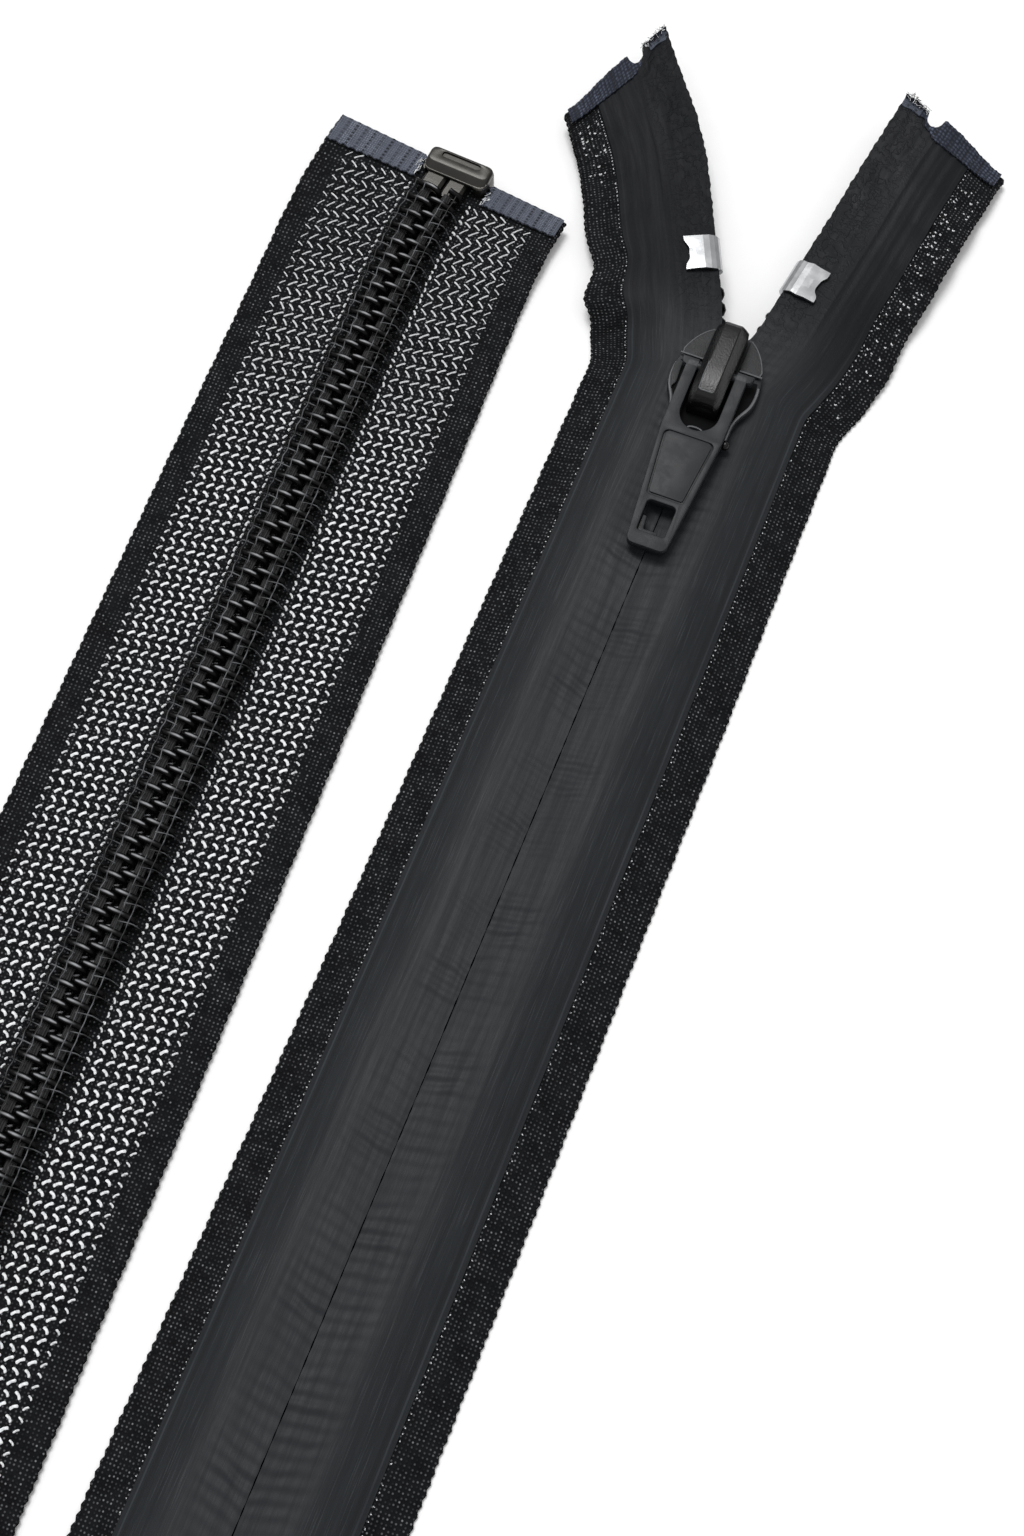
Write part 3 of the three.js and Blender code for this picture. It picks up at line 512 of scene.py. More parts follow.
# Each soft piece is in two lengths: the upper one bends where the halves part, the lower one stays
CUT = 20.0
LENGTHS = {
    "top": lambda side: (-PARTING - ARMS[side]["length"], CUT),
    "run": lambda side: (CUT, TOTAL),
}
HALVES, SUFFIX = {-1: "left", 1: "right"}, {"top": "_top", "run": ""}
BLEND_FROM, BLEND_TO = (0, -0.175, 0), (0, -0.135, 0)


def each_length(spans=LENGTHS):
    for side, half in HALVES.items():
        for part, ends in spans.items():
            yield side, half, part, *ends(side)


def settle(piece, side, part):
    if part == "run":
        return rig.ride(piece, "chain")
    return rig.blend(piece, "chain", HALVES[side] + "_flap", start=BLEND_FROM, end=BLEND_TO)


print("soft pieces are cut at y", -PARTING - CUT, "mm")

# %% [markdown]
# ## Node groups for what several finishes share
# Weave, grain, edges and hollows turn up on many pieces. Each is a small group of nodes, made once,
# with its own inputs, so that a material says only how strong or how fine it is there.

# %% A builder for node trees
class Sheet:
    def __init__(self, tree):
        self.tree, self.nodes, self.links = tree, tree.nodes, tree.links

    def node(self, kind, inputs=None, **settings):
        made = self.nodes.new(kind)
        for key, value in settings.items():
            setattr(made, key, value)
        for key, value in (inputs or {}).items():
            self.feed(value, made.inputs[key])
        return made

    def feed(self, value, socket):
        if isinstance(value, bpy.types.NodeSocket):
            self.links.new(value, socket)
        else:
            socket.default_value = value

    def math(self, operation, *values):
        return self.node("ShaderNodeMath", dict(enumerate(values)), operation=operation).outputs[0]

    def paint(self, colour):
        self.feed(colour, self.nodes["Principled BSDF"].inputs["Base Color"])

    def times(self, a, b):
        return self.math("MULTIPLY", a, b)

    def vector(self, operation, *values, output=0):
        made = self.node("ShaderNodeVectorMath", dict(enumerate(values)), operation=operation)
        return made.outputs[output]

    def here(self):
        return self.node("ShaderNodeTexCoord").outputs["Object"]

    def cloth(self):
        return self.node("ShaderNodeUVMap", uv_map="cloth").outputs[0]

    def parts(self, way):
        return self.node("ShaderNodeSeparateXYZ", {0: way}).outputs

    def mix(self, share, a, b):
        made = self.node("ShaderNodeMix", {0: share, 6: a, 7: b}, data_type="RGBA")
        return made.outputs[2]

    def ramp(self, value, low, high, to_low=0.0, to_high=1.0):
        made = self.node("ShaderNodeMapRange", {0: value, 1: low, 2: high, 3: to_low, 4: to_high},
                         interpolation_type="SMOOTHSTEP")
        return made.outputs[0]

    def noise(self, way, scale, detail=3.0, roughness=0.5):
        values = {"Vector": way, "Scale": scale, "Detail": detail, "Roughness": roughness}
        return self.node("ShaderNodeTexNoise", values).outputs["Fac"]


# %% New node groups
def new_group(name, inputs, outputs):
    tree = bpy.data.node_groups.new(name, "ShaderNodeTree")
    for label, kind, value in inputs:
        socket = tree.interface.new_socket(name=label, in_out="INPUT", socket_type=kind)
        if value is not None:
            socket.default_value = value
    for label, kind in outputs:
        tree.interface.new_socket(name=label, in_out="OUTPUT", socket_type=kind)
    sheet = Sheet(tree)
    return sheet, sheet.node("NodeGroupInput").outputs, sheet.node("NodeGroupOutput").inputs


NUMBER, WAY = "NodeSocketFloat", "NodeSocketVector"

# %% The woven grid: thread crossings and the grey specks where a filament catches light
sheet, given, result = new_group(
    "woven_grid", [("Cloth", WAY, None), ("Pitch", NUMBER, 0.53), ("Bright Share", NUMBER, 0.5)],
    [("Height", NUMBER), ("Speck", NUMBER), ("Bright Speck", NUMBER)])
pitch = sheet.node("ShaderNodeCombineXYZ", {0: given["Pitch"], 1: given["Pitch"], 2: 1.0}).outputs[0]
scaled = sheet.vector("DIVIDE", given["Cloth"], pitch)
random = sheet.node("ShaderNodeTexWhiteNoise", {"Vector": sheet.vector("FLOOR", scaled)}).outputs
offset = sheet.vector("SUBTRACT", random["Color"], (0.5, 0.5, 0.5))
spot = sheet.vector("SUBTRACT", sheet.vector("FRACTION", scaled), (0.5, 0.5, 0.0))
spot = sheet.vector("ADD", spot, sheet.vector("MULTIPLY", offset, (0.3, 0.3, 0.3)))
reach = sheet.vector("LENGTH", sheet.vector("MULTIPLY", spot, (1, 1, 0)), output="Value")
chosen = sheet.math("GREATER_THAN", random["Value"], given["Bright Share"])
sheet.feed(sheet.ramp(reach, 0.05, 0.6, 1.0, 0.0), result["Height"])
sheet.feed(sheet.times(sheet.ramp(reach, 0.1, 0.32, 1.0, 0.0), random["Value"]), result["Speck"])
sheet.feed(sheet.times(sheet.ramp(reach, 0.04, 0.26, 1.0, 0.0), chosen), result["Bright Speck"])
print("woven grid:", len(sheet.nodes), "nodes")

# %% [markdown]
# ## Grain, edges and hollows
# Cast metal has a fine grain, its edges are painted paler, for rubbed paint and as a painted highlight,
# and its hollows are painted darker as painted shade. Ambient occlusion finds both: from inside the
# piece it marks edges, from outside it marks hollows. Painting them by hand would have to be done
# again after each change of shape.

# %% Cast grain, then edges painted paler and hollows painted darker, for the metal pieces
sheet, given, result = new_group(
    "cast_grain", [("Scale", NUMBER, 4000.0), ("Patches", NUMBER, 400.0)],
    [("Height", NUMBER), ("Patch", NUMBER)])
way = sheet.here()
sheet.feed(sheet.noise(way, given["Scale"], 2.0, 0.6), result["Height"])
sheet.feed(sheet.ramp(sheet.noise(way, given["Patches"], 4.0, 0.6), 0.35, 0.7), result["Patch"])

sheet, given, result = new_group(
    "edges_and_hollows",
    [("Edge Width", NUMBER, 0.0002), ("Hollow Reach", NUMBER, 0.0006), ("Scale", NUMBER, 900.0)],
    [("Edge", NUMBER), ("Hollow", NUMBER)])
broken = sheet.ramp(sheet.noise(sheet.here(), given["Scale"], 4.0, 0.65), 0.3, 0.6, 0.35, 1.0)
within = sheet.node("ShaderNodeAmbientOcclusion", {"Distance": given["Edge Width"]},
                    inside=True, only_local=True, samples=6).outputs["AO"]
around = sheet.node("ShaderNodeAmbientOcclusion", {"Distance": given["Hollow Reach"]},
                    only_local=True, samples=6).outputs["AO"]
# Edge marks paler edges: partly rubbed paint, partly a painted highlight.
sheet.feed(sheet.times(sheet.ramp(within, 0.35, 0.9, 1.0, 0.0), broken), result["Edge"])
# Hollow marks where painted shade darkens the hollows.
sheet.feed(sheet.ramp(around, 0.3, 0.9, 1.0, 0.0), result["Hollow"])
print("node groups:", [tree.name for tree in bpy.data.node_groups])


# %% A material with a Principled shader, ready for its details
def finish(name, colour, roughness, **shader_values):
    material = bpy.data.materials.new(name)
    material.use_nodes = True
    sheet = Sheet(material.node_tree)
    shader = sheet.nodes["Principled BSDF"]
    shader.inputs["Base Color"].default_value = (*colour, 1)
    shader.inputs["Roughness"].default_value = roughness
    for key, value in shader_values.items():
        shader.inputs[key.replace("_", " ")].default_value = value
    return material, sheet, shader


def use_group(sheet, name, **inputs):
    made = sheet.node("ShaderNodeGroup", node_tree=bpy.data.node_groups[name])
    for key, value in inputs.items():
        sheet.feed(value, made.inputs[key.replace("_", " ")])
    return made.outputs


def bump(sheet, shader, height, distance, strength=1.0):
    made = sheet.node("ShaderNodeBump", {"Height": height, "Distance": distance, "Strength": strength})
    sheet.links.new(made.outputs[0], shader.inputs["Normal"])


def dress(piece, material):
    piece.data.materials.clear()
    piece.data.materials.append(material)
    return piece


def hold(piece, slot, stands_for):
    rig.slot(piece, slot)
    if stands_for:
        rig.replaces(piece, *stands_for)
    return piece


def lay(piece, material, side, part, slot, *stands_for):
    # A soft piece: dressed, carried by its length of the zipper, and named in the frame
    settle(dress(piece, material), side, part)
    return hold(piece, slot, stands_for)


def mount(piece, material, body, slot, *stands_for):
    # A stiff piece, carried by one body
    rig.ride(dress(piece, material), body)
    return hold(piece, slot, stands_for)


# %% [markdown]
# ## Black woven tape
# The tape is a plain weave of black polyester. Where the film leaves it bare it shows rows of small
# grey specks, one at each crossing. The weave could be real threads, but at half a millimetre a
# thread that is millions of faces, so it is a pattern in the strip's own coordinates. The relief
# that makes the outline, the twisted selvedge, is modelled below.

# %% Tape finish
tape_cloth, sheet, shader = finish("woven_tape", (0.009, 0.0095, 0.0105), 0.9, Specular_IOR_Level=0.12)
cloth = sheet.cloth()
grid = use_group(sheet, "woven_grid", Cloth=cloth, Pitch=0.6, Bright_Share=0.93)
tone = sheet.noise(cloth, 0.35, 3.0)
speck = sheet.times(grid["Speck"], sheet.ramp(tone, 0.3, 0.75, 0.65, 1.2))
black = sheet.mix(sheet.ramp(tone, 0.3, 0.7), (0.0035, 0.0038, 0.0045, 1), (0.007, 0.0075, 0.0085, 1))
speckled = sheet.mix(speck, black, (0.115, 0.119, 0.125, 1))
speckled = sheet.mix(sheet.times(grid["Bright Speck"], 0.5), speckled, (0.3, 0.3, 0.31, 1))
sheet.paint(speckled)
bump(sheet, shader, grid["Height"], 0.00012)
print("tape finish:", len(sheet.nodes), "nodes")

# %% Tape strips, notched at the arm tips
NOTCH_RADIUS, NOTCH_DEPTH, NOTCH_AT = 1.5, 2.3, 6.0
NOTCH_SPREAD = np.array([-1.05, -1, -0.85, -0.6, -0.3, 0, 0.3, 0.6, 0.85, 1, 1.05])
NOTCH_COLUMNS = NOTCH_AT + NOTCH_RADIUS * NOTCH_SPREAD


def notch_depth(u):
    return NOTCH_DEPTH * np.sqrt(np.maximum(1 - ((u - NOTCH_AT) / NOTCH_RADIUS) ** 2, 0))


def cut_notch(side, s, u, w, top):
    tip = -PARTING - ARMS[side]["length"]
    return s + notch_depth(u) * (1 - smooth(s, tip, tip + 8)), u, w


STATION_STEP = 1.35
tapes = {}
for side, half, part, low, high in each_length():
    stations = even_steps(low, high, STATION_STEP)
    outer = [9.5, 11, 12.5, 14.5, 16, 17.5, 19, 20.05]
    columns = np.concatenate([[SLIT_HALF, 1.5, 3], NOTCH_COLUMNS, outer])
    piece = strip(f"{half}_tape_{part}_cloth", side, stations, columns, 0, -TAPE_THICK, cut_notch)
    tapes[side, part] = lay(piece, tape_cloth, side, part, "tape_fabric", half + "_tape" + SUFFIX[part])
print("tape strips:", [p.name for p in tapes.values()])

# %% [markdown]
# ## The selvedge
# The weft threads turn back at the tape's outer edge round a corded bundle, which gives the edge its
# small scallops. It is one soft rope along the edge, swollen once each half row of the weave.

# %% Selvedge ropes
SCALLOP, ROPE_SIDES, ROPE_RADIUS, ROPE_SWELL, ROPE_IN = 1.38, 8, 0.38, 0.13, 0.46
for side, half, part, low, high in each_length():
    s, angle = even_steps(low, high, SCALLOP / 4)[:, None], angles_round(ROPE_SIDES)[None]
    swell = ROPE_RADIUS + ROPE_SWELL * np.sin(2 * np.pi * s / SCALLOP + angle)
    u = TAPE_HALF - ROPE_IN + swell * np.cos(angle) + 0.04 * np.sin(2 * np.pi * s / 7.3)
    w = -TAPE_THICK / 2 + 1.05 * swell * np.sin(angle)
    points = place(side, s, u, w)
    cloth = np.stack(np.broadcast_arrays(side * u, s), -1)
    rope = make_piece(f"{half}_selvedge_{part}", points, skin(len(s), ROPE_SIDES), cloth, 80)
    lay(rope, tape_cloth, side, part, "tape_fabric")
print("scallops every", SCALLOP, "mm")

# %% [markdown]
# ## The film on the face
# A thin charcoal laminate is glued over the face and slit between the halves. Under it the warp
# threads show as soft ribs along the tape and the coil as shallow ripples beside the slit. These
# catch the light, so they are relief in the mesh, with only the finest grain left to bump.

# %% Film finish
STRIPE_AT, STRIPE_HALF, LINE_AT, LINE_HALF = 13.0, 0.28, 13.72, 0.13
ARM_LOOK_FULL, ARM_LOOK_FROM = -178.0, -160.0
film_skin, sheet, shader = finish("film_laminate", (0.03, 0.034, 0.038), 0.5, Specular_IOR_Level=0.17)
cloth = sheet.cloth()
stretched = sheet.node("ShaderNodeMapping", {"Vector": cloth, "Scale": (1.0, 0.05, 1.0)}).outputs[0]
streak = sheet.noise(stretched, 1.1, 5.0, 0.62)
cloud = sheet.ramp(sheet.noise(cloth, 0.06, 3.0), 0.35, 0.7, 0.0, 0.4)
base = sheet.mix(sheet.ramp(streak, 0.3, 0.72), (0.0125, 0.0146, 0.017, 1), (0.0185, 0.021, 0.0238, 1))
base = sheet.mix(cloud, base, (0.012, 0.0138, 0.0163, 1))
from_slit = sheet.math("ABSOLUTE", sheet.parts(cloth)["X"])
# Thin pale lines along the outer film are painted highlights, for the light on fine ribs too narrow for the mesh.
drawn = sheet.node("ShaderNodeMapping", {"Vector": cloth, "Scale": (1.0, 0.022, 1.0)}).outputs[0]
ridge_highlight_lines = sheet.ramp(sheet.noise(drawn, 5.2, 2.0, 0.5), 0.54, 0.7)
ridge_highlight_lines = sheet.times(ridge_highlight_lines, sheet.ramp(from_slit, 5.0, 9.0, 0.12, 0.85))
ridge_highlight_lines = sheet.times(ridge_highlight_lines, sheet.ramp(from_slit, 12.9, 12.4))
broken = sheet.ramp(sheet.noise(cloth, 7.0, 3.0, 0.6), 0.35, 0.65, 0.3, 1.0)
base = sheet.mix(sheet.times(ridge_highlight_lines, broken), base, (0.041, 0.045, 0.049, 1))
# Near the edge the film has a darker stripe, and beside it a light line that is a painted highlight of a thin raised
# line.
dark_stripe = sheet.math("COMPARE", from_slit, STRIPE_AT, STRIPE_HALF)
base = sheet.mix(sheet.times(dark_stripe, 0.7), base, (0.011, 0.0125, 0.0145, 1))
raised_line_highlight = sheet.math("COMPARE", from_slit, LINE_AT, LINE_HALF)
raised_line_highlight = sheet.times(raised_line_highlight, sheet.ramp(streak, 0.35, 0.6, 0.3, 0.9))
base = sheet.mix(raised_line_highlight, base, (0.036, 0.04, 0.045, 1))
# The film on the arms is painted darker, the left arm darkest: painted shade.
on_arms = sheet.ramp(sheet.parts(cloth)["Y"], ARM_LOOK_FULL, ARM_LOOK_FROM, 1.0, 0.0)
on_left = sheet.math("LESS_THAN", sheet.parts(cloth)["X"], 0.0)
arm_painted_shade = sheet.mix(on_left, (0.0044, 0.005, 0.0062, 1), (0.0026, 0.003, 0.0039, 1))
sheet.paint(sheet.mix(sheet.times(on_arms, 0.82), base, arm_painted_shade))
dull = sheet.times(sheet.times(on_arms, on_left), 0.12)
sheet.feed(sheet.math("ADD", sheet.ramp(streak, 0.3, 0.7, 0.58, 0.46), dull), shader.inputs["Roughness"])
crease = sheet.math("ABSOLUTE", sheet.math("SUBTRACT", sheet.noise(cloth, 0.5, 3.0, 0.6), 0.5))
creased = sheet.times(on_arms, sheet.ramp(from_slit, 3.0, 9.0, 1.0, 0.15))
crease = sheet.times(sheet.ramp(crease, 0.0, 0.06, 1.0, 0.0), creased)
grainy = sheet.times(sheet.noise(cloth, 9.0, 3.0, 0.6), 0.35)
fine = sheet.math("ADD", grainy, sheet.noise(stretched, 7.0, 3.0, 0.55))
bump(sheet, shader, sheet.math("ADD", fine, sheet.times(crease, 2.2)), 0.00003)
print("film finish:", len(sheet.nodes), "nodes")


# %% Film strips with ribs, ripples and folds
def wave(s, length, phase=0.0):
    return np.sin(2 * np.pi * s / length + phase)


def wander(s, *waves):
    return sum(size * wave(s, length, phase) for size, length, phase in waves)


def crumple(s, u, side):
    # Ridged noise: creases where the noise passes through nought, broad dents between them
    def dent(a, b):
        wide = abs(noise.noise((a / 7.5, b / 3.0, 4.0 * side)))
        return wide + 0.3 * abs(noise.noise((a / 3.4, b / 1.6, 9.0 * side)))

    return np.array([dent(a, b) for a, b in zip(s.ravel(), u.ravel())]).reshape(s.shape)


ARM_FROM, ARM_FULL = PARTING + 12, PARTING + 26
LOOSE_FROM, LOOSE_FULL = PARTING + 27, PARTING + 33
FACE_DOWN_FROM, FACE_DOWN_FULL = STRAIGHT + LOOP - 60, STRAIGHT + LOOP


def film_relief(side, s, u, w, top):
    edge = smooth(FILM_HALF - u, 0.6, 2.2)
    slow = wander(s, (0.9, 93, side), (0.5, 41, 2 * side))
    ribs = 0.010 * wave(u, 1.45, slow) + 0.005 * wave(u, 0.93, 1.7 * slow + 1) + 0.012 * wave(u, 2.9, -slow)
    ribs = ribs * (0.35 + 0.65 * smooth(u, 3.5, 7))
    near_slit = (1 - smooth(u, 3.0, 8.5)) * (0.7 + wander(s, (0.3, 23, side), (0.25, 11.3, 2)))
    drift = wander(s + 2 * u, (0.5, 19, 1), (0.3, 7.3, side))
    ripple = 0.07 * wave(s + 0.25 * u + 0.7 * side, 0.72 * PITCH, drift)
    ripple = near_slit * (ripple + 0.03 * wave(s + 0.5 * u + 0.4 * side, 1.3 * PITCH, 2 * drift))
    arm = smooth(-s, ARM_FROM, ARM_FULL)
    loose = smooth(-s, LOOSE_FROM, LOOSE_FULL) * (1 - 0.85 * smooth(u, 3.0, 9.0))
    fold = crumple(s, u, side) if s[0, 0] < -PARTING else 0 * s
    broad = 0.05 * wave(s + 2.0 * u, 37, side) * edge
    face_up = 1 - smooth(s, FACE_DOWN_FROM, FACE_DOWN_FULL)
    relief = ribs * edge * (1 + 3.0 * arm) + ripple * (1 - arm) + broad
    w = w + face_up * np.where(top, relief, 0) + loose * (1.0 if side < 0 else 0.5) * fold
    nick = 0.02 * np.clip(wander(s, (1, 3.1, 0), (1, 7.7, 1), (0.8, 1.9, 2)), -1.5, 1.5)
    edge_bumps = loose * (0.06 * wave(s, 1.6) + 0.05 * wave(s, 4.1, side))
    u = np.where(u < 0.3, u + nick + edge_bumps, u)
    s, u, _ = cut_notch(side, s, u, w, top)
    return s, u, w


films = {}
for side, half, part, low, high in each_length():
    seen = min(high, FACE_DOWN_FULL)
    stations = np.linspace(low, seen, round((seen - low) / PITCH * 8) + 1)
    unseen = np.arange(seen + STATION_STEP, high, STATION_STEP)
    stations = np.concatenate([stations, unseen, [high][:part == "run"]])
    columns = [[0.07], np.linspace(0.5, 4.3, 10), NOTCH_COLUMNS]
    columns = np.concatenate(columns + [np.linspace(7.8, FILM_HALF - 0.15, 18), [FILM_HALF]])
    piece = strip(f"{half}_film_{part}_skin", side, stations, columns, FILM_TOP, FILM_UNDER, film_relief)
    films[side, part] = lay(piece, film_skin, side, part, "film_laminate", half + "_film" + SUFFIX[part])
print("film strips:", [p.name for p in films.values()])

# %% [markdown]
# ## The coil
# Each side is one nylon filament wound round a core cord, with a swollen head where it hooks into
# the other side. It is swept here as one unbroken tube, flattened like the real one and pressed in
# where the sewing threads hold it.

# %% Nylon finish
nylon, sheet, shader = finish("coil_nylon", (0.0022, 0.0022, 0.0027), 0.3, Specular_IOR_Level=0.14)
way = sheet.here()
round_wire = sheet.parts(sheet.cloth())
# A pale stroke along the crown of each head is a painted highlight: the shine of the glossy nylon.
at_head = sheet.ramp(round_wire["X"], 0.5, 2.6, 1.0, 0.0)
crown = sheet.ramp(round_wire["Y"], 0.78, 0.97)
patchy = sheet.ramp(sheet.noise(way, 900.0, 3.0), 0.3, 0.6, 0.7, 1.0)
painted_head_highlight = sheet.times(sheet.times(at_head, crown), patchy)
sheet.paint(sheet.mix(painted_head_highlight, (0.0018, 0.0018, 0.0022, 1), (0.33, 0.335, 0.35, 1)))
bump(sheet, shader, sheet.noise(way, 1500.0, 2.0), 0.00002)
print("nylon finish:", len(sheet.nodes), "nodes")

# %% Filaments
WIRE = 0.95
COIL_MIDDLE, COIL_HALF_UP = -2.55, 1.075
HEAD_AT, BEND_AT = -0.425, 3.925
COIL_TURN_STEPS, WIRE_SIDES = 16, 8
LEAN, PHASE = 0.7, {-1: 0.0, 1: 0.72}
PRESS, PRESSED_AT, PRESSED_OVER = 0.36, 2.95, 1.1
CORD_AT, CORD_WIDE, CORD_HIGH = 1.75, 0.78, 0.3
PIN_START = TOTAL - 0.3 - 6
SHARED_TURN = math.ceil(CUT / PITCH - 0.5) * PITCH
for side, half in HALVES.items():
    for part in LENGTHS:
        hand, phase = -side, PHASE[side]
        first, last = SHARED_TURN, PIN_START + 0.8 - phase * PITCH
        if part == "top":
            stop_end = -PARTING - ARMS[side]["stop"] + 0.8
            first, last = math.ceil(stop_end / PITCH - 0.5) * PITCH, SHARED_TURN
        turns = (last - first) / PITCH
        turn = np.arange(round(turns * COIL_TURN_STEPS) + 1) / COIL_TURN_STEPS
        angle = 2 * np.pi * turn
        u = (HEAD_AT + BEND_AT) / 2 + (BEND_AT - HEAD_AT) / 2 * np.cos(angle)
        pressed = 1 - PRESS * bell(u, PRESSED_AT, PRESSED_OVER)
        lift = hand * np.sin(angle)
        w = COIL_MIDDLE + COIL_HALF_UP * np.sign(lift) * np.abs(lift) ** 0.55 * pressed
        s = first + PITCH * (turn + phase - hand * LEAN * np.cos(angle) / (2 * np.pi))
        route = place(side, s, u, w)
        slit = np.zeros_like(u)
        chain_way = place(side, s + 0.1, slit, COIL_MIDDLE) - place(side, s - 0.1, slit, COIL_MIDDLE)
        head = smooth(-np.cos(angle), 0.55, 1)
        radius = np.stack([WIRE / 2 * (1 + 0.12 * head), WIRE / 2 * (1 - 0.1 * head)], 1)
        rings = thread_rings(route, radius, WIRE_SIDES, chain_way)
        # The wire's texture coordinates are its distance from the slit and its place round the crown, which put the
        # painted highlight on the heads.
        outward_way = unit(place(side, s, u, w - 0.1) - route)
        crown = ((rings - route[:, None]) * outward_way[:, None]).sum(-1) / (WIRE / 2)
        cloth = np.stack(np.broadcast_arrays(np.maximum(u[:, None], 0), crown), -1)
        piece = make_piece(f"{half}_filament_{part}", rings, skin(len(route), WIRE_SIDES), cloth, 80)
        names = ["_coil_top"] if part == "top" else ["_coil_rail", "_coil"]
        lay(piece, nylon, side, part, "coil_nylon", *(half + name for name in names))
        print(piece.name, round(turns, 1), "turns")

# %% [markdown]
# ## The core cords
# A cord runs through each coil and keeps it from closing up. It hardly shows, so a plain flat rope is
# enough, with its strands drawn by a wave texture.

# %% Core cords inside the filaments
cord_twist, sheet, shader = finish("core_cord", (0.012, 0.012, 0.013), 0.8)
way = sheet.here()
strands = sheet.node("ShaderNodeTexWave", {"Vector": way, "Scale": 900.0, "Distortion": 2.0}).outputs["Fac"]
sheet.paint(sheet.mix(strands, (0.006, 0.006, 0.0065, 1), (0.024, 0.024, 0.026, 1)))
bump(sheet, shader, strands, 0.00008)
COIL_SPANS = {
    "top": lambda side: (-PARTING - ARMS[side]["stop"] + 1.6, CUT),
    "run": lambda side: (CUT, PIN_START + 0.3),
}
for side, half, part, low, high in each_length(COIL_SPANS):
    s, angle = even_steps(low, high, STATION_STEP)[:, None], angles_round(ROPE_SIDES)[None]
    points = place(side, s, CORD_AT + CORD_WIDE * np.cos(angle), COIL_MIDDLE + CORD_HIGH * np.sin(angle))
    cord = make_piece(f"{half}_core_{part}", points, skin(len(s), ROPE_SIDES), None, 80)
    lay(cord, cord_twist, side, part, "cord_fabric", *([half + "_core_cord"] if part == "run" else []))
print("core cords", 2 * CORD_WIDE, "mm wide")

# %% [markdown]
# ## Threads that hold the coil
# Two lines of thread run over each coil and dip between its turns, and in each gap a short thread
# crosses them and goes down the coil's side. They follow the filament's own turns, so each thread is
# a route worked out from the same pitch and phase, swept as a fine tube.

# %% Sewing threads
grey_thread, sheet, shader = finish("sewing_thread", (0.05, 0.052, 0.056), 0.55, Specular_IOR_Level=0.4)
way = sheet.here()
patchy = sheet.noise(way, 450.0, 3.0)
sheet.paint(sheet.mix(sheet.ramp(patchy, 0.4, 0.65), (0.012, 0.0125, 0.014, 1), (0.115, 0.119, 0.127, 1)))
bump(sheet, shader, sheet.noise(way, 5000.0, 2.0), 0.00004)
LINES = (1.95, 3.4)
CROSS_ACROSS = np.array((1.7, 2.4, 3.4, 4.0, 4.5, 4.9))
CROSS_OUT = np.array((-3.4, -3.52, -3.5, -3.25, -2.3, -0.8))
CROSS_LEAN, SEAM_RADIUS, SEAM_SIDES = 0.12, 0.095, 5
FLANK = {-1: 0.75, 1: 0.97}
for side, half, part, low, high in each_length(COIL_SPANS):
    s = np.arange(low, high, PITCH / 12)
    beat = 2 * np.pi * (s / PITCH - FLANK[side])
    gaps = np.arange(math.ceil(low / PITCH) + 1, math.floor(high / PITCH) - 1)
    gaps = (gaps + FLANK[side] + 0.5) * PITCH
    routes = [(s, line + 0.06 * np.sin(beat + 1), -3.66 - 0.16 * np.cos(beat)) for line in LINES]
    points, faces = [], []
    routes += [(gap + CROSS_LEAN * CROSS_ACROSS, CROSS_ACROSS, CROSS_OUT) for gap in gaps]
    for s, across, out in routes:
        route = place(side, s, across, out)
        up = place(side, s, across, out + 0.1) - route
        rings = thread_rings(route, SEAM_RADIUS, SEAM_SIDES, up)
        faces.append(skin(len(s), SEAM_SIDES) + sum(len(p) for p in points))
        points.append(rings.reshape(-1, 3))
    seam = make_piece(f"{half}_seam_{part}", np.vstack(points), np.vstack(faces), None, 80)
    stands_for = [half + "_sewing_thread"] if part == "run" else []
    lay(seam, grey_thread, side, part, "thread_fabric", *stands_for)
print("threads lie", LINES, "mm from the slit")

# %% [markdown]
# ## White threads woven through the tape
# On the back, white yarn comes up through the black weave as short floats that lean one way and
# then the other, in columns along the tape. Each float is a small closed form, waisted and slightly
# bowed, set down in a frame taken from the map and turned by its own angle.

# %% White yarn
white_yarn, sheet, shader = finish("white_yarn", (0.82, 0.83, 0.84), 0.6)
way = sheet.here()
fray = sheet.noise(way, 2500.0, 3.0)
frayed = sheet.mix(sheet.ramp(fray, 0.3, 0.6), (0.6, 0.62, 0.64, 1), (0.88, 0.89, 0.9, 1))
sheet.paint(frayed)
bump(sheet, shader, fray, 0.00005)


ABOVE_TABLE, FLOAT_THICK, FLOAT_WAIST = 0.22, 0.36, 0.8


def float_form():
    stations, widths = (-0.5, -0.4, 0.0, 0.4, 0.5), (0.5, 1.0, FLOAT_WAIST, 1.0, 0.5)
    ring = np.array([(0, 0.5), (0.5, 0), (0, -0.5), (-0.5, 0)])
    form = [(x, width * y + 0.5 * (0.5 - abs(x)) - 0.12, width * z)
            for x, width in zip(stations, widths) for z, y in ring]
    return np.array(form), skin(len(stations), 4)


def marks_of(*columns):
    # Rows of along, across, out, angle in degrees, length, width
    return np.stack(np.broadcast_arrays(*columns), 1)


def lay_floats(name, side, part, marks, material, slot):
    s, u, w, angle, length, width = marks.T
    here, along, across, out = local_frames(side, s, u, w)
    here[:, 2] = np.maximum(here[:, 2], ABOVE_TABLE)
    turn = np.radians(angle)[:, None]
    ahead = across * np.cos(turn) + along * np.sin(turn)
    beside = along * np.cos(turn) - across * np.sin(turn)
    form, faces = float_form()
    thick = np.minimum(width, FLOAT_THICK)
    frames = (here, ahead * length[:, None], beside * width[:, None], out * thick[:, None])
    piece = make_piece(name, *many(form, faces, frames), None, 80)
    return lay(piece, material, side, part, slot)


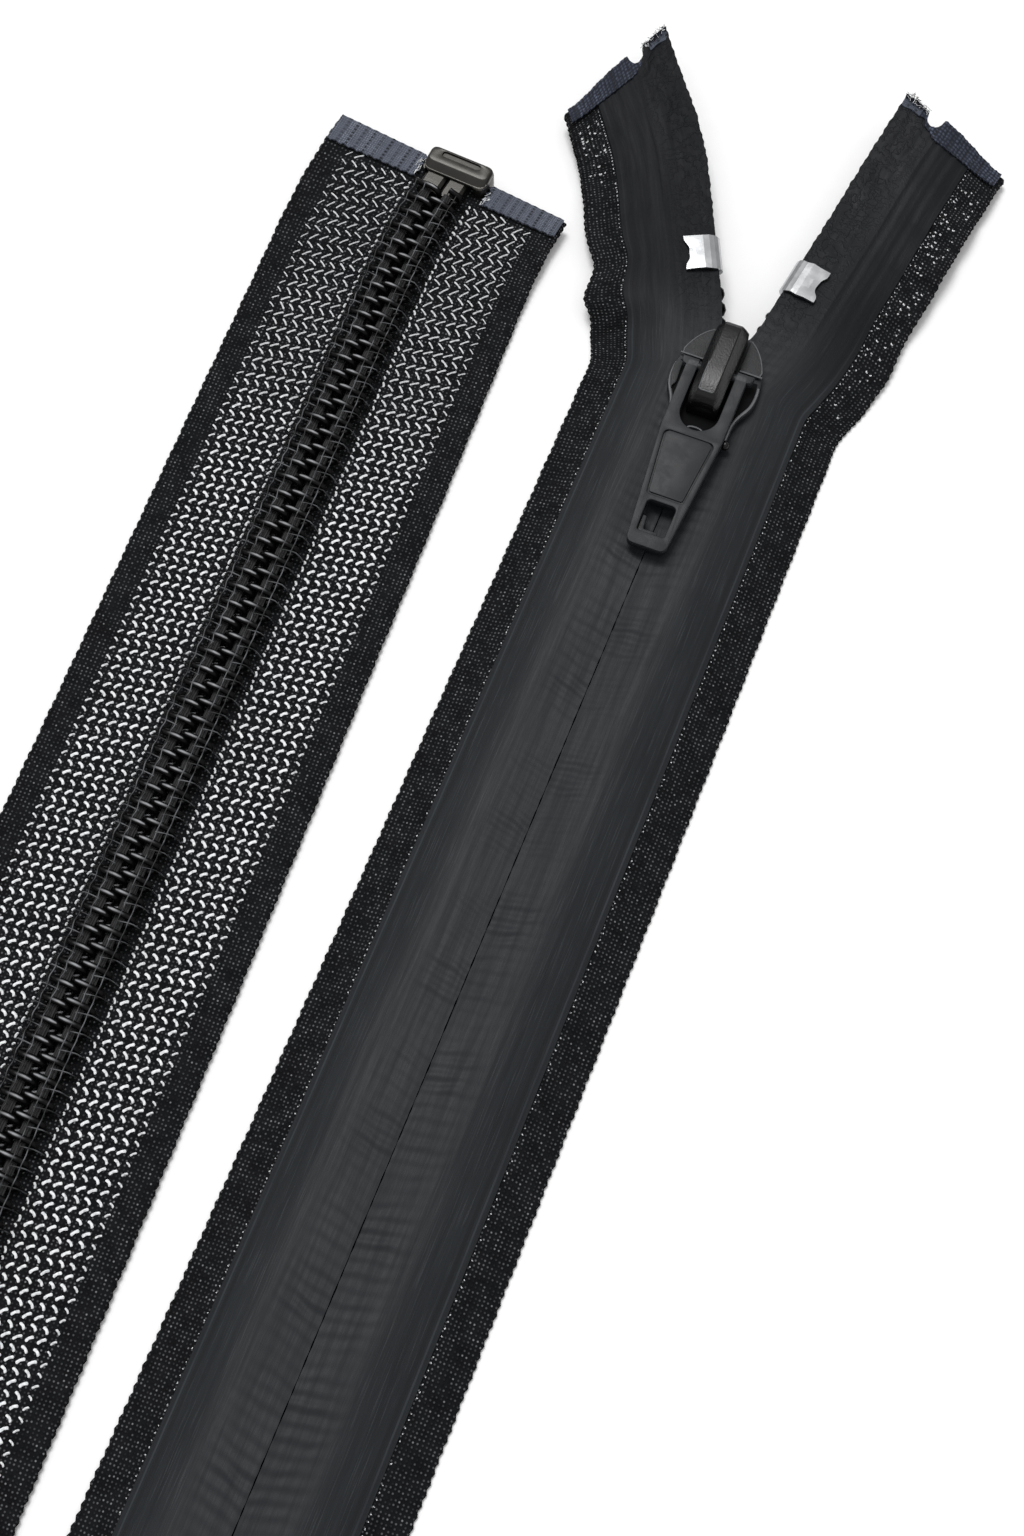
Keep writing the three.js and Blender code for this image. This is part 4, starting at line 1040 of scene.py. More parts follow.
# %% Floats on the back
chance = np.random.default_rng(7)
FLOAT_ROW, FLOAT_COLUMN, FLOAT_OUTER, ROW_SKEW = 2.84, 1.53, 15.7, 0.16
COLUMNS = FLOAT_OUTER - FLOAT_COLUMN * np.arange(7)
BACK_OUT, FLOAT_WIDE = -TAPE_THICK - 0.06, 0.44


def jitter(count, size):
    return chance.uniform(-size, size, count)


def float_marks(side, low, high):
    marks = []
    rows = np.arange(math.ceil(low / FLOAT_ROW) - 2, math.floor(high / FLOAT_ROW) + 3) * FLOAT_ROW
    for number, u in enumerate(COLUMNS):
        outer = 0.75 if number == 0 else 1.0
        for offset, angle, length in ((0.0, -38, 1.14), (FLOAT_ROW / 2, 42, 1.27)):
            s = rows + offset + ROW_SKEW * side * u + jitter(len(rows), 0.06)
            s = s[(s > low) & (s < high)]
            n = len(s)
            near_box = smooth(s, TOTAL - 70, TOTAL - 15)
            marks.append(marks_of(
                s, u + jitter(n, 0.05), BACK_OUT, angle + jitter(n, 6) + 8 * np.sin(s / 9) * near_box,
                length * outer * (1 + 0.3 * near_box) + jitter(n, 0.1),
                FLOAT_WIDE * outer * (1 - 0.45 * near_box) + jitter(n, 0.03)))
    return np.vstack(marks)


def seam_marks(side, low, high):
    s = np.arange(low, high, 1.1)
    slash = np.arange(len(s)) % 2
    n = len(s)
    return marks_of(
        s + jitter(n, 0.12), 5.12 + jitter(n, 0.1) + 0.1 * slash, BACK_OUT, side * -60 + jitter(n, 25),
        0.5 + 0.34 * slash + jitter(n, 0.08), 0.37 + jitter(n, 0.05))


for side, half, part, low, high in each_length():
    low, high = (low + 14, high) if part == "top" else (low, high - 4.6)
    marks = np.vstack([float_marks(side, low, high), seam_marks(side, low, high)])
    piece = lay_floats(f"{half}_floats_{part}", side, part, marks, white_yarn, "tape_fabric")
    print(piece.name, len(marks))

# %% [markdown]
# ## Pale spots on the face
# Where the film ends a row of white stitches shows on the margin. Near the arm tips the weave is
# open, and the table shines through its pin-holes. True holes would need every thread of the weave,
# so each is a small pale spot laid between the threads instead.

# %% Margin stitches and pin-holes
STITCH_STEP, FACE_OUT = 0.92, 0.02
for side, half, part, low, high in each_length():
    s = np.arange(low + 3, high - 0.5, STITCH_STEP)
    n = len(s)
    stitches = marks_of(s + jitter(n, 0.1), 14.82 + jitter(n, 0.05), FACE_OUT, jitter(n, 80),
                        0.2 + jitter(n, 0.07), 0.17 + jitter(n, 0.04))
    marks = [stitches[chance.random(n) < 0.75]]
    if part == "top":
        reach, share = (30, 1.0) if side < 0 else (62, 0.7)
        s = np.arange(low + 6.6, low + reach, 0.95)
        n = len(s)
        likely = 0.42 * (1 - smooth(s, low + reach * 0.5, low + reach)) * share
        for u in 15.55 + 0.78 * np.arange(5):
            kept = chance.random(n) < likely
            marks.append(marks_of(s + jitter(n, 0.12), u + jitter(n, 0.08), FACE_OUT, jitter(n, 40),
                                  0.34 + jitter(n, 0.16), 0.28 + jitter(n, 0.08))[kept])
    lay_floats(f"{half}_specks_{part}", side, part, np.vstack(marks), white_yarn, "tape_fabric")
print("stitches every", STITCH_STEP, "mm")

# %% [markdown]
# ## Slate-blue ends
# The box end of the tape is stiffened by a ribbed woven band, and the slanted tips by a narrower
# strip whose inner corner curls up. Both are thin ribbons on the map. The ribs are real waves of the
# ribbon, and a colour that follows the same waves paints shade into the furrows. Loose fibres and a
# small roll of cloth lie where the cut edges fray.

# %% Slate ribbon finishes
def slate_finish(name, light, dark, thread):
    material, sheet, shader = finish(name, dark, 0.75, Specular_IOR_Level=0.3)
    cloth = sheet.cloth()
    grid = use_group(sheet, "woven_grid", Cloth=cloth, Pitch=thread, Bright_Share=0.8)
    patch = sheet.ramp(sheet.noise(cloth, 0.9, 4.0, 0.6), 0.3, 0.7)
    # The raised thread crossings are painted in the lighter colour: a painted highlight.
    base = sheet.mix(grid["Height"], (*dark, 1), (*light, 1))
    base = sheet.mix(sheet.times(patch, 0.45), base, (*[v * 0.55 for v in dark], 1))
    across = sheet.parts(cloth)["X"]
    # The furrows between the ribs are painted dark, broken into beads along the ribbon: painted shade.
    furrow = sheet.math("SINE", sheet.times(across, 2 * math.pi / RIB))
    bead = sheet.math("SINE", sheet.times(sheet.parts(cloth)["Y"], 2 * math.pi / BEAD))
    faint = sheet.ramp(sheet.noise(across, 0.4), 0.4, 0.6, 0.35, 1.0)
    beaded = sheet.times(sheet.ramp(bead, -0.4, 0.5, 0.25, 1.0), faint)
    furrow_shade = sheet.times(sheet.ramp(furrow, -0.92, -0.2, 0.95, 0.0), beaded)
    rib_number = sheet.math("FLOOR", sheet.math("DIVIDE", across, RIB))
    rib_tone = sheet.node("ShaderNodeTexWhiteNoise", {"W": rib_number}, noise_dimensions="1D")
    base = sheet.mix(sheet.ramp(rib_tone.outputs["Value"], 0.0, 1.0, 0.0, 0.7), base, (*dark, 1))
    base = sheet.mix(furrow_shade, base, (0.006, 0.007, 0.010, 1))
    sheet.paint(base)
    bump(sheet, shader, grid["Height"], 0.0001)
    return material


RIB, BEAD = 1.5, 0.62
black_fibre, sheet, shader = finish("black_fibre", (0.006, 0.0065, 0.0075), 0.8, Specular_IOR_Level=0.2)
fray = sheet.noise(sheet.here(), 2500.0, 3.0)
sheet.paint(sheet.mix(fray, (0.004, 0.004, 0.005, 1), (0.012, 0.012, 0.014, 1)))
band_weave = slate_finish("slate_band", (0.23, 0.257, 0.32), (0.075, 0.084, 0.112), 0.34)
roll_weave = slate_finish("slate_roll", (0.13, 0.15, 0.19), (0.07, 0.08, 0.105), 0.3)
patch_weave = slate_finish("slate_tip", (0.1, 0.12, 0.175), (0.0065, 0.009, 0.018), 0.62)
print("slate finishes:", [m.name for m in (band_weave, roll_weave, patch_weave)])

# %% Bands at the box end
BAND_FROM, BAND_OUT, BAND_THICK, FIBRE_OUT = TOTAL - 4.1, -1.0, 0.3, -1.36


def rib_wave(side, u):
    return np.cos(2 * np.pi * (side * u / RIB - 0.25))


for side, half in HALVES.items():
    inner = 5.2 if side < 0 else 6.6

    def band_relief(side, s, u, w, top):
        torn = 0.35 * bell(u, inner, 0.5) * np.sin(5 * s)
        ragged = 0.08 * wave(u, 1.5, side) + 0.05 * wave(u, 0.63)
        start = 1 - smooth(s, BAND_FROM, BAND_FROM + 1.5)
        ribbed = w + (0.055 * rib_wave(side, u) - 0.03)
        return s + ragged * start, np.where(u < inner + 0.1, u + torn, u), np.where(top, w, ribbed)

    stations, columns = np.linspace(BAND_FROM, TOTAL, 13), np.linspace(inner, 19.9, 74)
    band = strip(f"{half}_band_weave", side, stations, columns, BAND_OUT, BAND_OUT - BAND_THICK, band_relief)
    lay(band, band_weave, side, "run", "band_fabric", half + "_end_band")
    n = 13
    marks = marks_of(BAND_FROM + chance.uniform(0.1, 2.4, n) ** 1.3, inner + chance.uniform(-0.25, 0.75, n),
                     FIBRE_OUT, 80 + jitter(n, 35), 0.75 + jitter(n, 0.35), 0.11 + jitter(n, 0.04))
    lay_floats(half + "_band_fibres", side, "run", marks, white_yarn, "band_fabric")
print("bands from", round(BAND_FROM, 1), "to", round(TOTAL, 1), "mm")

# %% [markdown]
# ## Slanted tips
# The tips carry the same ribbon, cut at a slant, notched, curled at the inner corner and frayed. The
# strip's own relief makes slant, notch and curl, and the fibres are laid like the floats.

# %% Strips at the slanted tips
TIP_DEEP, TIP_LOW, TIP_HIGH = 2.6, 0.34, 0.66
for side, half in HALVES.items():
    tip = -PARTING - ARMS[side]["length"]
    around_notch = NOTCH_AT + NOTCH_RADIUS * np.linspace(-1, 1, 13)
    columns = np.unique(np.concatenate([np.linspace(0.2, 19.5, 61), around_notch]))

    def tip_relief(side, s, u, w, top):
        share = (s - tip) / TIP_DEEP
        width = 4.1 - 0.9 * smooth(u, 8.0, 20.0) - 2.4 * (1 - smooth(u, 4.4, 7.5))
        width = width + 0.07 * wave(u, 1.1) + 0.05 * np.sin(u * 9.1)
        start = tip + notch_depth(u) + 0.06 * np.sin(u * 7.7) + 0.05 * np.sin(u * 17.3)
        curl = 1.15 * (1 - smooth(u, 1.2, 4.3)) * (1 - share) ** 2
        end = np.maximum(tip + width, start + 0.9)
        rib = np.where(top, 0.05 * rib_wave(side, u), 0)
        return start + share * (end - start) + 0.35 * curl, u, w + curl + rib

    def roll_relief(side, s, u, w, top):
        curl = 0.9 * (1 - smooth(u, 1.0, 4.0)) * (1 - (s - tip) / 1.9) ** 2
        return s + 0.12 * np.sin(2.2 * u), u, w + curl + 0.05 * top

    patch = strip(f"{half}_tip_weave", side, np.linspace(tip, tip + TIP_DEEP, 12), columns,
                  TIP_HIGH, TIP_LOW, tip_relief)
    lay(patch, patch_weave, side, "top", "band_fabric", half + "_end_patch")
    stations, columns = np.linspace(tip + 0.5, tip + 1.75, 7), np.linspace(0.25, 3.6, 16)
    rolled = strip(f"{half}_tip_roll", side, stations, columns, 0.72, 0.5, roll_relief)
    lay(rolled, roll_weave, side, "top", "band_fabric")
    n = 90
    u = chance.uniform(0.3, 4.6, n)
    marks = marks_of(tip + chance.uniform(-0.15, 0.9, n), u,
                     0.78 + 1.0 * (1 - smooth(u, 1.2, 4.3)) * chance.uniform(0.7, 1.1, n),
                     jitter(n, 90), 0.8 + jitter(n, 0.4), 0.085 + jitter(n, 0.03))
    lay_floats(half + "_tip_fibres", side, "top", marks[::4], white_yarn, "band_fabric")
    lay_floats(half + "_tip_frays", side, "top", marks[1::2], black_fibre, "band_fabric")
print("ribs every", RIB, "mm")

# %% [markdown]
# ## Metal finishes
# The box and pins are die-cast and plated a warm gunmetal, the stops are bright bent aluminium, and
# the slider is painted black, satin or glossy. Cast pieces show a grain, their edges are painted
# paler, for rubbed paint and as a painted highlight, and their hollows darker as painted shade. Both
# come from the groups made earlier, with other values each time.

# %% Cast, bent and painted metal
def shade(colour, by):
    return (*[min(v * by, 1) for v in colour], 1)


def metal_finish(name, colour, worn_colour, rough, metallic, grain=0.00002, wear=0.6, scale=3500.0,
                 hollow=0.6, reach=0.0006, **more):
    material, sheet, shader = finish(name, colour, rough, Metallic=metallic, **more)
    cast = use_group(sheet, "cast_grain", Scale=scale, Patches=500.0)
    marks = use_group(sheet, "edges_and_hollows", Hollow_Reach=reach)
    tone = sheet.mix(cast["Patch"], shade(colour, 0.92), shade(colour, 1.06))
    # Edges painted paler, for wear and as a painted highlight; hollows painted darker as painted shade.
    tone = sheet.mix(sheet.times(marks["Edge"], wear), tone, (*worn_colour, 1))
    tone = sheet.mix(sheet.times(marks["Hollow"], hollow), tone, shade(colour, 0.15))
    sheet.paint(tone)
    sheet.feed(sheet.ramp(cast["Patch"], 0, 1, rough * 0.92, rough * 1.1), shader.inputs["Roughness"])
    bump(sheet, shader, cast["Height"], grain)
    return material


gunmetal = metal_finish(
    "gunmetal_cast", (0.046, 0.0445, 0.041), (0.3, 0.29, 0.27), 0.34, 0.85, 0.000008, 0.75,
    hollow=0.75, reach=0.0014)
aluminium = metal_finish(
    "bent_aluminium", (0.5, 0.51, 0.52), (0.9, 0.9, 0.9), 0.3, 1.0, 0.000001, 0.0, 1800.0, 0.0)
satin_paint = metal_finish(
    "satin_black_paint", (0.0108, 0.0122, 0.0143), (0.1, 0.105, 0.11), 0.46, 0.0, 0.00002, 0.55, 7000.0,
    Specular_IOR_Level=0.25)
grainy_paint = metal_finish(
    "grainy_black_paint", (0.018, 0.019, 0.0205), (0.09, 0.095, 0.1), 0.5, 0.0, 0.00009, 0.3, 5200.0, 0.85,
    Specular_IOR_Level=0.35)
cover_gloss = metal_finish(
    "glossy_black_paint", (0.003, 0.003, 0.0035), (0.02, 0.02, 0.02), 0.22, 0.0, 0.00004, 0.2, 4200.0,
    Specular_IOR_Level=0.36)
# Dull black for the slider's sunk floor: painted shade in the gaps.
shade_floor_black = metal_finish(
    "dull_black_paint", (0.006, 0.0062, 0.0068), (0.01, 0.01, 0.01), 0.9, 0.0, 0.00002, 0.2,
    Specular_IOR_Level=0.05)
# Pale paint for rims and edge lines: painted highlights along edges.
rubbed_paint = metal_finish(
    "rubbed_paint", (0.15, 0.155, 0.162), (0.2, 0.2, 0.2), 0.34, 0.3, 0.00002, 0.0, 4500.0, 0.0)
lock_steel = metal_finish("lock_steel", (0.4, 0.4, 0.4), (0.6, 0.6, 0.6), 0.35, 1.0)
print("metal finishes:", [m.name for m in (gunmetal, aluminium, satin_paint, cover_gloss, lock_steel)])


# %% [markdown]
# ## Rounded edges
# No cast or bent edge is sharp, and a sharp one catches no light. A Bevel modifier rounds a packed
# solid without changing what it is.

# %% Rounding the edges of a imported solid
def soften(piece, width, steps=2, angle=30):
    rounding = piece.modifiers.new("rounded_edges", "BEVEL")
    rounding.width, rounding.segments = width * MM, steps
    rounding.limit_method, rounding.angle_limit = "ANGLE", math.radians(angle)
    return piece


# %% [markdown]
# ## Top stops
# A short piece of aluminium strip is bent over the tape's inner edge and pressed flat, which leaves
# facets along the bend and a bite in its free end. The bent section is carried along the map for
# the length of the clip, and its free end is drawn in where the bite is.

# %% Stops
STOP_LENGTH, STOP_FREE, BITE_FROM, STOP_STEPS = 6.2, 5.0, 3.3, 25
STOP_OUTSIDE = [
    (STOP_FREE, 0.9), (3.3, 1.08), (2.1, 1.14), (1.15, 1.06), (0.4, 0.84), (-0.2, 0.5), (-0.55, -0.05),
    (-0.55, -0.5), (-0.25, -1.0), (0.3, -1.35), (2.0, -1.45), (STOP_FREE, -1.45)]
STOP_INSIDE = [
    (STOP_FREE, 0.6), (3.3, 0.66), (2.1, 0.66), (1.15, 0.62), (0.5, 0.5), (0.2, 0.28), (0.02, 0.0),
    (0.0, -0.4), (0.15, -0.72), (0.45, -0.95), (2.0, -1.0), (STOP_FREE, -1.0)]
section = np.array(STOP_OUTSIDE + STOP_INSIDE[::-1])
for side, half in HALVES.items():
    share = np.linspace(0, 1, STOP_STEPS)[:, None]
    bite = 0.75 * np.exp(-((share - 0.5) / 0.27) ** 4) + 0.07 * np.sin(11 * share + side)
    free = np.clip(section[None, :, 0] - BITE_FROM, 0, None) / (STOP_FREE - BITE_FROM)
    u = section[None, :, 0] - bite * free
    start = -PARTING - ARMS[side]["stop"] - STOP_LENGTH + 0.4
    s = start + STOP_LENGTH * share + 0.09 * np.sin(3.2 * u + side) * (share - 0.5) * 2
    points = place(side, s, u, section[None, :, 1])
    stop = make_piece(half + "_stop_clip", points, skin(STOP_STEPS, len(section)), None, 7)
    lay(stop, aluminium, side, "top", "stop_metal", half + "_top_stop")
print("stops reach", STOP_FREE, "mm in from the slit")

# %% [markdown]
# ## Pins and lock
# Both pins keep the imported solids, whose shape is already right, and so do the pawl and its spring.
# A Bevel modifier rounds their edges, which is what makes cast metal catch light.

# %% Gunmetal pieces
for name in ("retainer_pin", "insertion_pin"):
    piece = dress(soften(bpy.data.objects[name], 0.6, 4), gunmetal)
    piece.data.shade_smooth()
    piece.data.set_sharp_from_angle(angle=math.radians(50))
for name in ("lock_pawl", "lock_spring"):
    dress(soften(bpy.data.objects[name], 0.08), lock_steel)
print("rounded: pins, pawl and spring")

# %% [markdown]
# ## Plates with rounded edges
# The slider and its pull are mostly flat plates with rounded edges and holes. A flat curve with a
# bevel makes one such plate: the first outline is its edge and the others are holes. Several
# plates are then joined in one mesh. It could also be done with Booleans, but this keeps clean edges.

# %% Outlines with bows and rounded corners
def bow(start, pull_one, pull_two, end, steps=12):
    t = np.linspace(0, 1, steps + 1)[:, None]
    a, b, c, d = (np.array(p, float) for p in (start, pull_one, pull_two, end))
    return list((1 - t) ** 3 * a + 3 * t * (1 - t) ** 2 * b + 3 * t * t * (1 - t) * c + t ** 3 * d)


def turn_corner(corners, radius, steps=5):
    # Rounds each corner of a closed outline; a radius can be given for each
    count, outline = len(corners), []
    radii = radius if isinstance(radius, (list, tuple)) else [radius] * count
    for k in range(count):
        here, before, after = (np.array(corners[(k + j) % count], float) for j in (0, -1, 1))
        one, two = (here + unit(other - here) * radii[k] for other in (before, after))
        outline += bow(one, here + (one - here) * 0.45, here + (two - here) * 0.45, two, steps)
    return outline


# %% Plates and tubes as meshes
def plate_mesh(outlines, low, high, bevel):
    curve = bpy.data.curves.new("outline", "CURVE")
    curve.dimensions, curve.fill_mode = "2D", "BOTH"
    curve.extrude = (high - low) / 2 - bevel
    curve.bevel_depth, curve.bevel_resolution, curve.offset = bevel, 2, -bevel
    for outline in outlines:
        spline = curve.splines.new("POLY")
        spline.points.add(len(outline) - 1)
        for point, (x, y) in zip(spline.points, outline):
            point.co = (x, y, 0, 1)
        spline.use_cyclic_u = True
    holder = bpy.data.objects.new("outline", curve)
    mesh = bpy.data.meshes.new_from_object(holder)
    mesh.transform(Matrix.Translation((0, 0, (low + high) / 2)))
    bpy.data.objects.remove(holder)
    bpy.data.curves.remove(curve)
    return mesh


def join_meshes(name, meshes, tilt=None):
    joined = bmesh.new()
    for mesh in meshes:
        joined.from_mesh(mesh)
        bpy.data.meshes.remove(mesh)
    bmesh.ops.remove_doubles(joined, verts=joined.verts, dist=0.003)
    bmesh.ops.recalc_face_normals(joined, faces=joined.faces)
    if tilt is not None:
        joined.transform(tilt)
    joined.transform(Matrix.Scale(MM, 4))
    made = bpy.data.meshes.new(name)
    joined.to_mesh(made)
    joined.free()
    return put_smooth(name, made, 38)


def tube_mesh(route, radius, sides=10):
    route = np.array(route, float)
    rings = thread_rings(route, radius, sides, np.array((0.0, 0.0, 1.0)) + 0 * route)
    return mesh_of("tube", rings.reshape(-1, 3), skin(len(route), sides))


def mirrored(outline):
    return [(-x, y) for x, y in reversed(outline)]


# %% [markdown]
# ## Slider body
# Two plates joined by a wedge hold the coils between them, and walls at the edges keep the coils
# in. The top plate has raised, grainy wings beside the cover, a sunk floor painted black as painted
# shade, a rim along each flank that ends in a small knob, and a ring at the tail, rims and ring
# painted pale as painted highlights. Two posts carry the cover.

# %% Slider body
NOSE_Y, SHOULDER, TAIL_Y = 10.0, 6.75, -9.6
PLATE_LOW, PLATE_TOP, LEDGE_Y = 6.22, 7.42, 3.65
WING_LOW, WING_TOP, WING_EDGE = PLATE_TOP - 0.2, 7.93, 7.9
KNOB_RADII = np.array([0.15, 0.42, 0.6, 0.7, 0.74, 0.74, 0.68, 0.52, 0.2])[:, None]


def plate_outline(waist):
    left = bow((0, NOSE_Y), (-4.6, NOSE_Y), (-SHOULDER, 4.576), (-SHOULDER, 0.4), 16)
    left += bow((-SHOULDER, 0.4), (-SHOULDER, -2.95), (-waist, -2.95), (-waist, -6.3), 14)[1:]
    left += bow((-waist, -8.5), (-waist, -9.2), (-waist + 0.4, TAIL_Y), (-waist + 1.1, TAIL_Y), 6)
    return left + mirrored([(x, y) for x, y in left[1:]])


def inner_side(outline, inset):
    points = np.array(outline)
    ahead = unit(np.roll(points, -1, 0) - np.roll(points, 1, 0))
    return points + inset * np.stack([-ahead[:, 1], ahead[:, 0]], 1)


upper, lower = plate_outline(4.95), plate_outline(5.6)
rim_line = inner_side(upper, 0.3)
flank = [p for p in rim_line if -8.9 < p[1] < 2.5 and p[0] < 0]
wing = [tuple(p) for p in inner_side(upper, 0.12) if p[1] > 3.8 and p[0] < -2.75]
wing = wing + [(wing[-1][0] + 0.1, LEDGE_Y), (-2.75, LEDGE_Y), (-2.75, wing[0][1])]
facet = [(-6.5, 1.7), (-6.05, 2.55), (-5.45, 2.3), (-5.2, -1.3), (-5.65, -2.6), (-6.45, -0.3)]
ledge = [(-6.3, LEDGE_Y), (-5.2, LEDGE_Y), (-2.85, LEDGE_Y)]
wall = [(4.7, -9.3), (5.6, -9.3), (5.6, 1.5), (4.7, 1.5)]
body = [plate_mesh([lower], 0, 1.2, 0.25), plate_mesh([upper], PLATE_LOW, PLATE_TOP, 0.22)]
wings = [plate_mesh([turn_corner(shape, 0.12, 1)], WING_LOW, WING_TOP, 0.13)
         for shape in (wing, mirrored(wing))]
wings += [plate_mesh([turn_corner(facet, 0.15, 2)], WING_LOW, 7.78, 0.12)]
# Rims, ledge lines and the tail ring are tubes painted pale as painted highlights.
rims, knobs = [], []
for hand in (-1, 1):
    for line, height, thick, sides in ((flank, PLATE_TOP + 0.06, 0.2, 8), (wing[:-2], WING_EDGE, 0.1, 6),
                                       (ledge, WING_EDGE, 0.13, 6)):
        rims.append(tube_mesh([(-hand * x, y, height) for x, y in line], thick, sides))
    knob_x = hand * (4.72 + 0.2 * (hand > 0))
    knob = [(knob_x, -7.8 - 0.19 * k, PLATE_TOP - 0.1) for k in range(len(KNOB_RADII))]
    knobs.append(tube_mesh(knob, KNOB_RADII * (0.7 + 0.3 * hand), 14))
    body.append(plate_mesh([turn_corner([(hand * x, y) for x, y in wall], 0.25, 3)], 0.6, 4.6, 0.12))
wedge_y = np.linspace(5.5, 9.5, 9)
wedge_half = np.interp(wedge_y, ARMS[-1]["y"], ARMS[-1]["out"]) - 0.15
wedge = list(zip(wedge_half, wedge_y))
body.append(plate_mesh([wedge + mirrored(wedge)], 0.6, 6.8, 0.05))
for low, high in ((7.8, 8.3), (-4.5, -4.0)):
    post = turn_corner([(-1.3, low), (1.3, low), (1.3, high), (-1.3, high)], 0.15, 2)
    body.append(plate_mesh([post], PLATE_LOW, 9.32, 0.08))
ring = [(1.15 * math.cos(a), -7.9 + 0.45 * math.sin(a), PLATE_TOP + 0.12)
        for a in np.linspace(0, 2 * np.pi, 25)]
rims.append(tube_mesh(ring, 0.15, 8))
# A black plate sunk under the pull paints the shade in the gaps beside the pull and under the cover.
floor = [tuple(p) for p in inner_side(upper, 0.55) if -8.2 < p[1] < LEDGE_Y - 0.15 and p[0] < 0]
floor = floor + [(-2.6, -8.4), (2.6, -8.4)] + mirrored(floor)
shade_floor_plate = [plate_mesh([floor], 7.3, 7.46, 0.03)]
slider = mount(join_meshes("slider_casting", body), satin_paint, "slider", "slider_paint", "slider_body")
for name, meshes, paint in (("slider_knobs", knobs, cover_gloss), ("slider_wings", wings, grainy_paint),
                            ("slider_rims", rims, rubbed_paint), ("slider_well", shade_floor_plate, shade_floor_black)):
    mount(join_meshes(name, meshes), paint, "slider", "slider_paint")
print("slider", [round(v * 1000, 1) for v in slider.dimensions], "mm")

# %% [markdown]
# ## Cover
# The cover is a glossy black bar with a narrow top facet, a lower facet towards the pull and a
# rounded front. A ring of eight points, two facets a side, is carried along it, a Bevel modifier
# rounds its edges, and two fine pale tubes along its edges are painted highlights.

# %% Cover
COVER_BASE = 7.45
COVER_STATIONS = [  # along, top, half width at the base, half width of the top facet
    (9.3, 10.0, 2.1, 1.2), (9.05, 10.95, 2.25, 1.2), (8.6, 11.6, 2.35, 1.2), (7.9, 12.0, 2.42, 1.2),
    (7.0, 12.16, 2.45, 1.2), (5.5, 12.24, 2.45, 1.22), (3.0, 12.3, 2.45, 1.26), (0.5, 12.33, 2.45, 1.28),
    (-1.9, 12.33, 2.45, 1.28), (-3.7, 11.92, 2.45, 1.2), (-4.4, 11.45, 2.4, 1.4), (-4.95, 10.7, 2.35, 1.6),
    (-5.3, 9.8, 2.3, 1.8), (-5.5, 8.9, 2.2, 1.9)]
rings = []
for y, top, wide, flat in COVER_STATIONS:
    height = top - COVER_BASE
    left = [(-wide, COVER_BASE), (-wide, COVER_BASE + height * 0.62),
            (-(wide + flat) / 2, COVER_BASE + height * 0.84), (-flat, top)]
    rings.append([(x, y, z) for x, z in left] + [(-x, y, z) for x, z in reversed(left)])
cover = make_piece("cover_cap", np.array(rings), skin(len(rings), 8), None, 16)
mount(soften(cover, 0.13, 3, 14), cover_gloss, "slider", "cover_paint", "slider_cover")
# Two pale tubes along the top facet's edge and its lower end: painted highlights.
highlight_edge_route = [(-1.27, 0.9, 12.3), (-1.29, -1.9, 12.32), (-1.23, -3.55, 11.97), (-0.9, -3.74, 11.93),
        (0.9, -3.74, 11.93)]
lines = [tube_mesh(highlight_edge_route[:3], 0.07, 8), tube_mesh(highlight_edge_route[2:], 0.11, 8)]
mount(join_meshes("cover_worn_edge", lines), rubbed_paint, "slider", "cover_paint")
print("cover is", COVER_STATIONS[0][0] - COVER_STATIONS[-1][0], "mm long")

# %% [markdown]
# ## Pull
# The pull hangs on its crossbar and lies back along the tape. It is a U-shaped plate with a frame
# round a plain sunk panel, and a hole near the tip with a step inside. Plates make all of these: the
# base, the frame, the panel with a groove round it, and the step.

# %% Pull
def round_arc(centre_y, radius, steps=16):
    angles = np.linspace(0, math.pi, steps + 1)
    return [(radius * math.cos(a), centre_y - radius * math.sin(a)) for a in angles]


CROSSBAR, HANGS = (0, 1.4, 9.02), math.radians(2.5)
arm = bow((-5.5, 0.85), (-5.5, -0.1), (-5.2, -0.45), (-4.65, -0.45), 6) + [(-4.65, -11.0)]
tip = bow((-3.06, -28.9), (-3.0, -29.8), (-2.6, -30.2), (-1.8, -30.2), 7)
outline = arm + tip + mirrored(tip) + mirrored(arm) + [(2.9, 0.85)] + round_arc(-7.4, 2.9) + [(-2.9, 0.85)]
hole = turn_corner([(-2.1, -28.0), (-2.2, -22.9), (2.2, -22.9), (2.1, -28.0)], [0.35, 0.7, 0.7, 0.35])
panel = [(-3.85, -11.5), (-2.75, -22.1), (2.75, -22.1), (3.85, -11.5)]
sunk = [(x * 0.93, y * 0.99 - (0.12 if y > -15 else -0.1)) for x, y in panel]
step_in = [(-2.1, -28.1), (-2.1, -25.2), (-1.5, -25.2), (-1.3, -27.3), (0.9, -27.3), (0.9, -28.1)]
tab = [plate_mesh([outline, hole], -0.75, 0.42, 0.22)]
tab += [plate_mesh([outline, hole, turn_corner(panel, [0.9, 0.4, 0.4, 0.9])], 0.3, 0.75, 0.12)]
tab += [plate_mesh([turn_corner(sunk, [0.8, 0.35, 0.35, 0.8])], 0.2, 0.64, 0.09)]
tab += [plate_mesh([turn_corner(step_in, 0.2, 3)], -0.7, 0.0, 0.08)]
tab += [tube_mesh([(x, 0, 0) for x in np.linspace(-4.4, 4.4, 9)], 0.7, 20)]
tilt = Matrix.Translation(CROSSBAR) @ Matrix.Rotation(HANGS, 4, "X")
pull = mount(join_meshes("pull_frame", tab, tilt), satin_paint, "pull", "slider_paint", "pull_tab")
print("pull", [round(v * 1000, 1) for v in pull.dimensions], "mm")

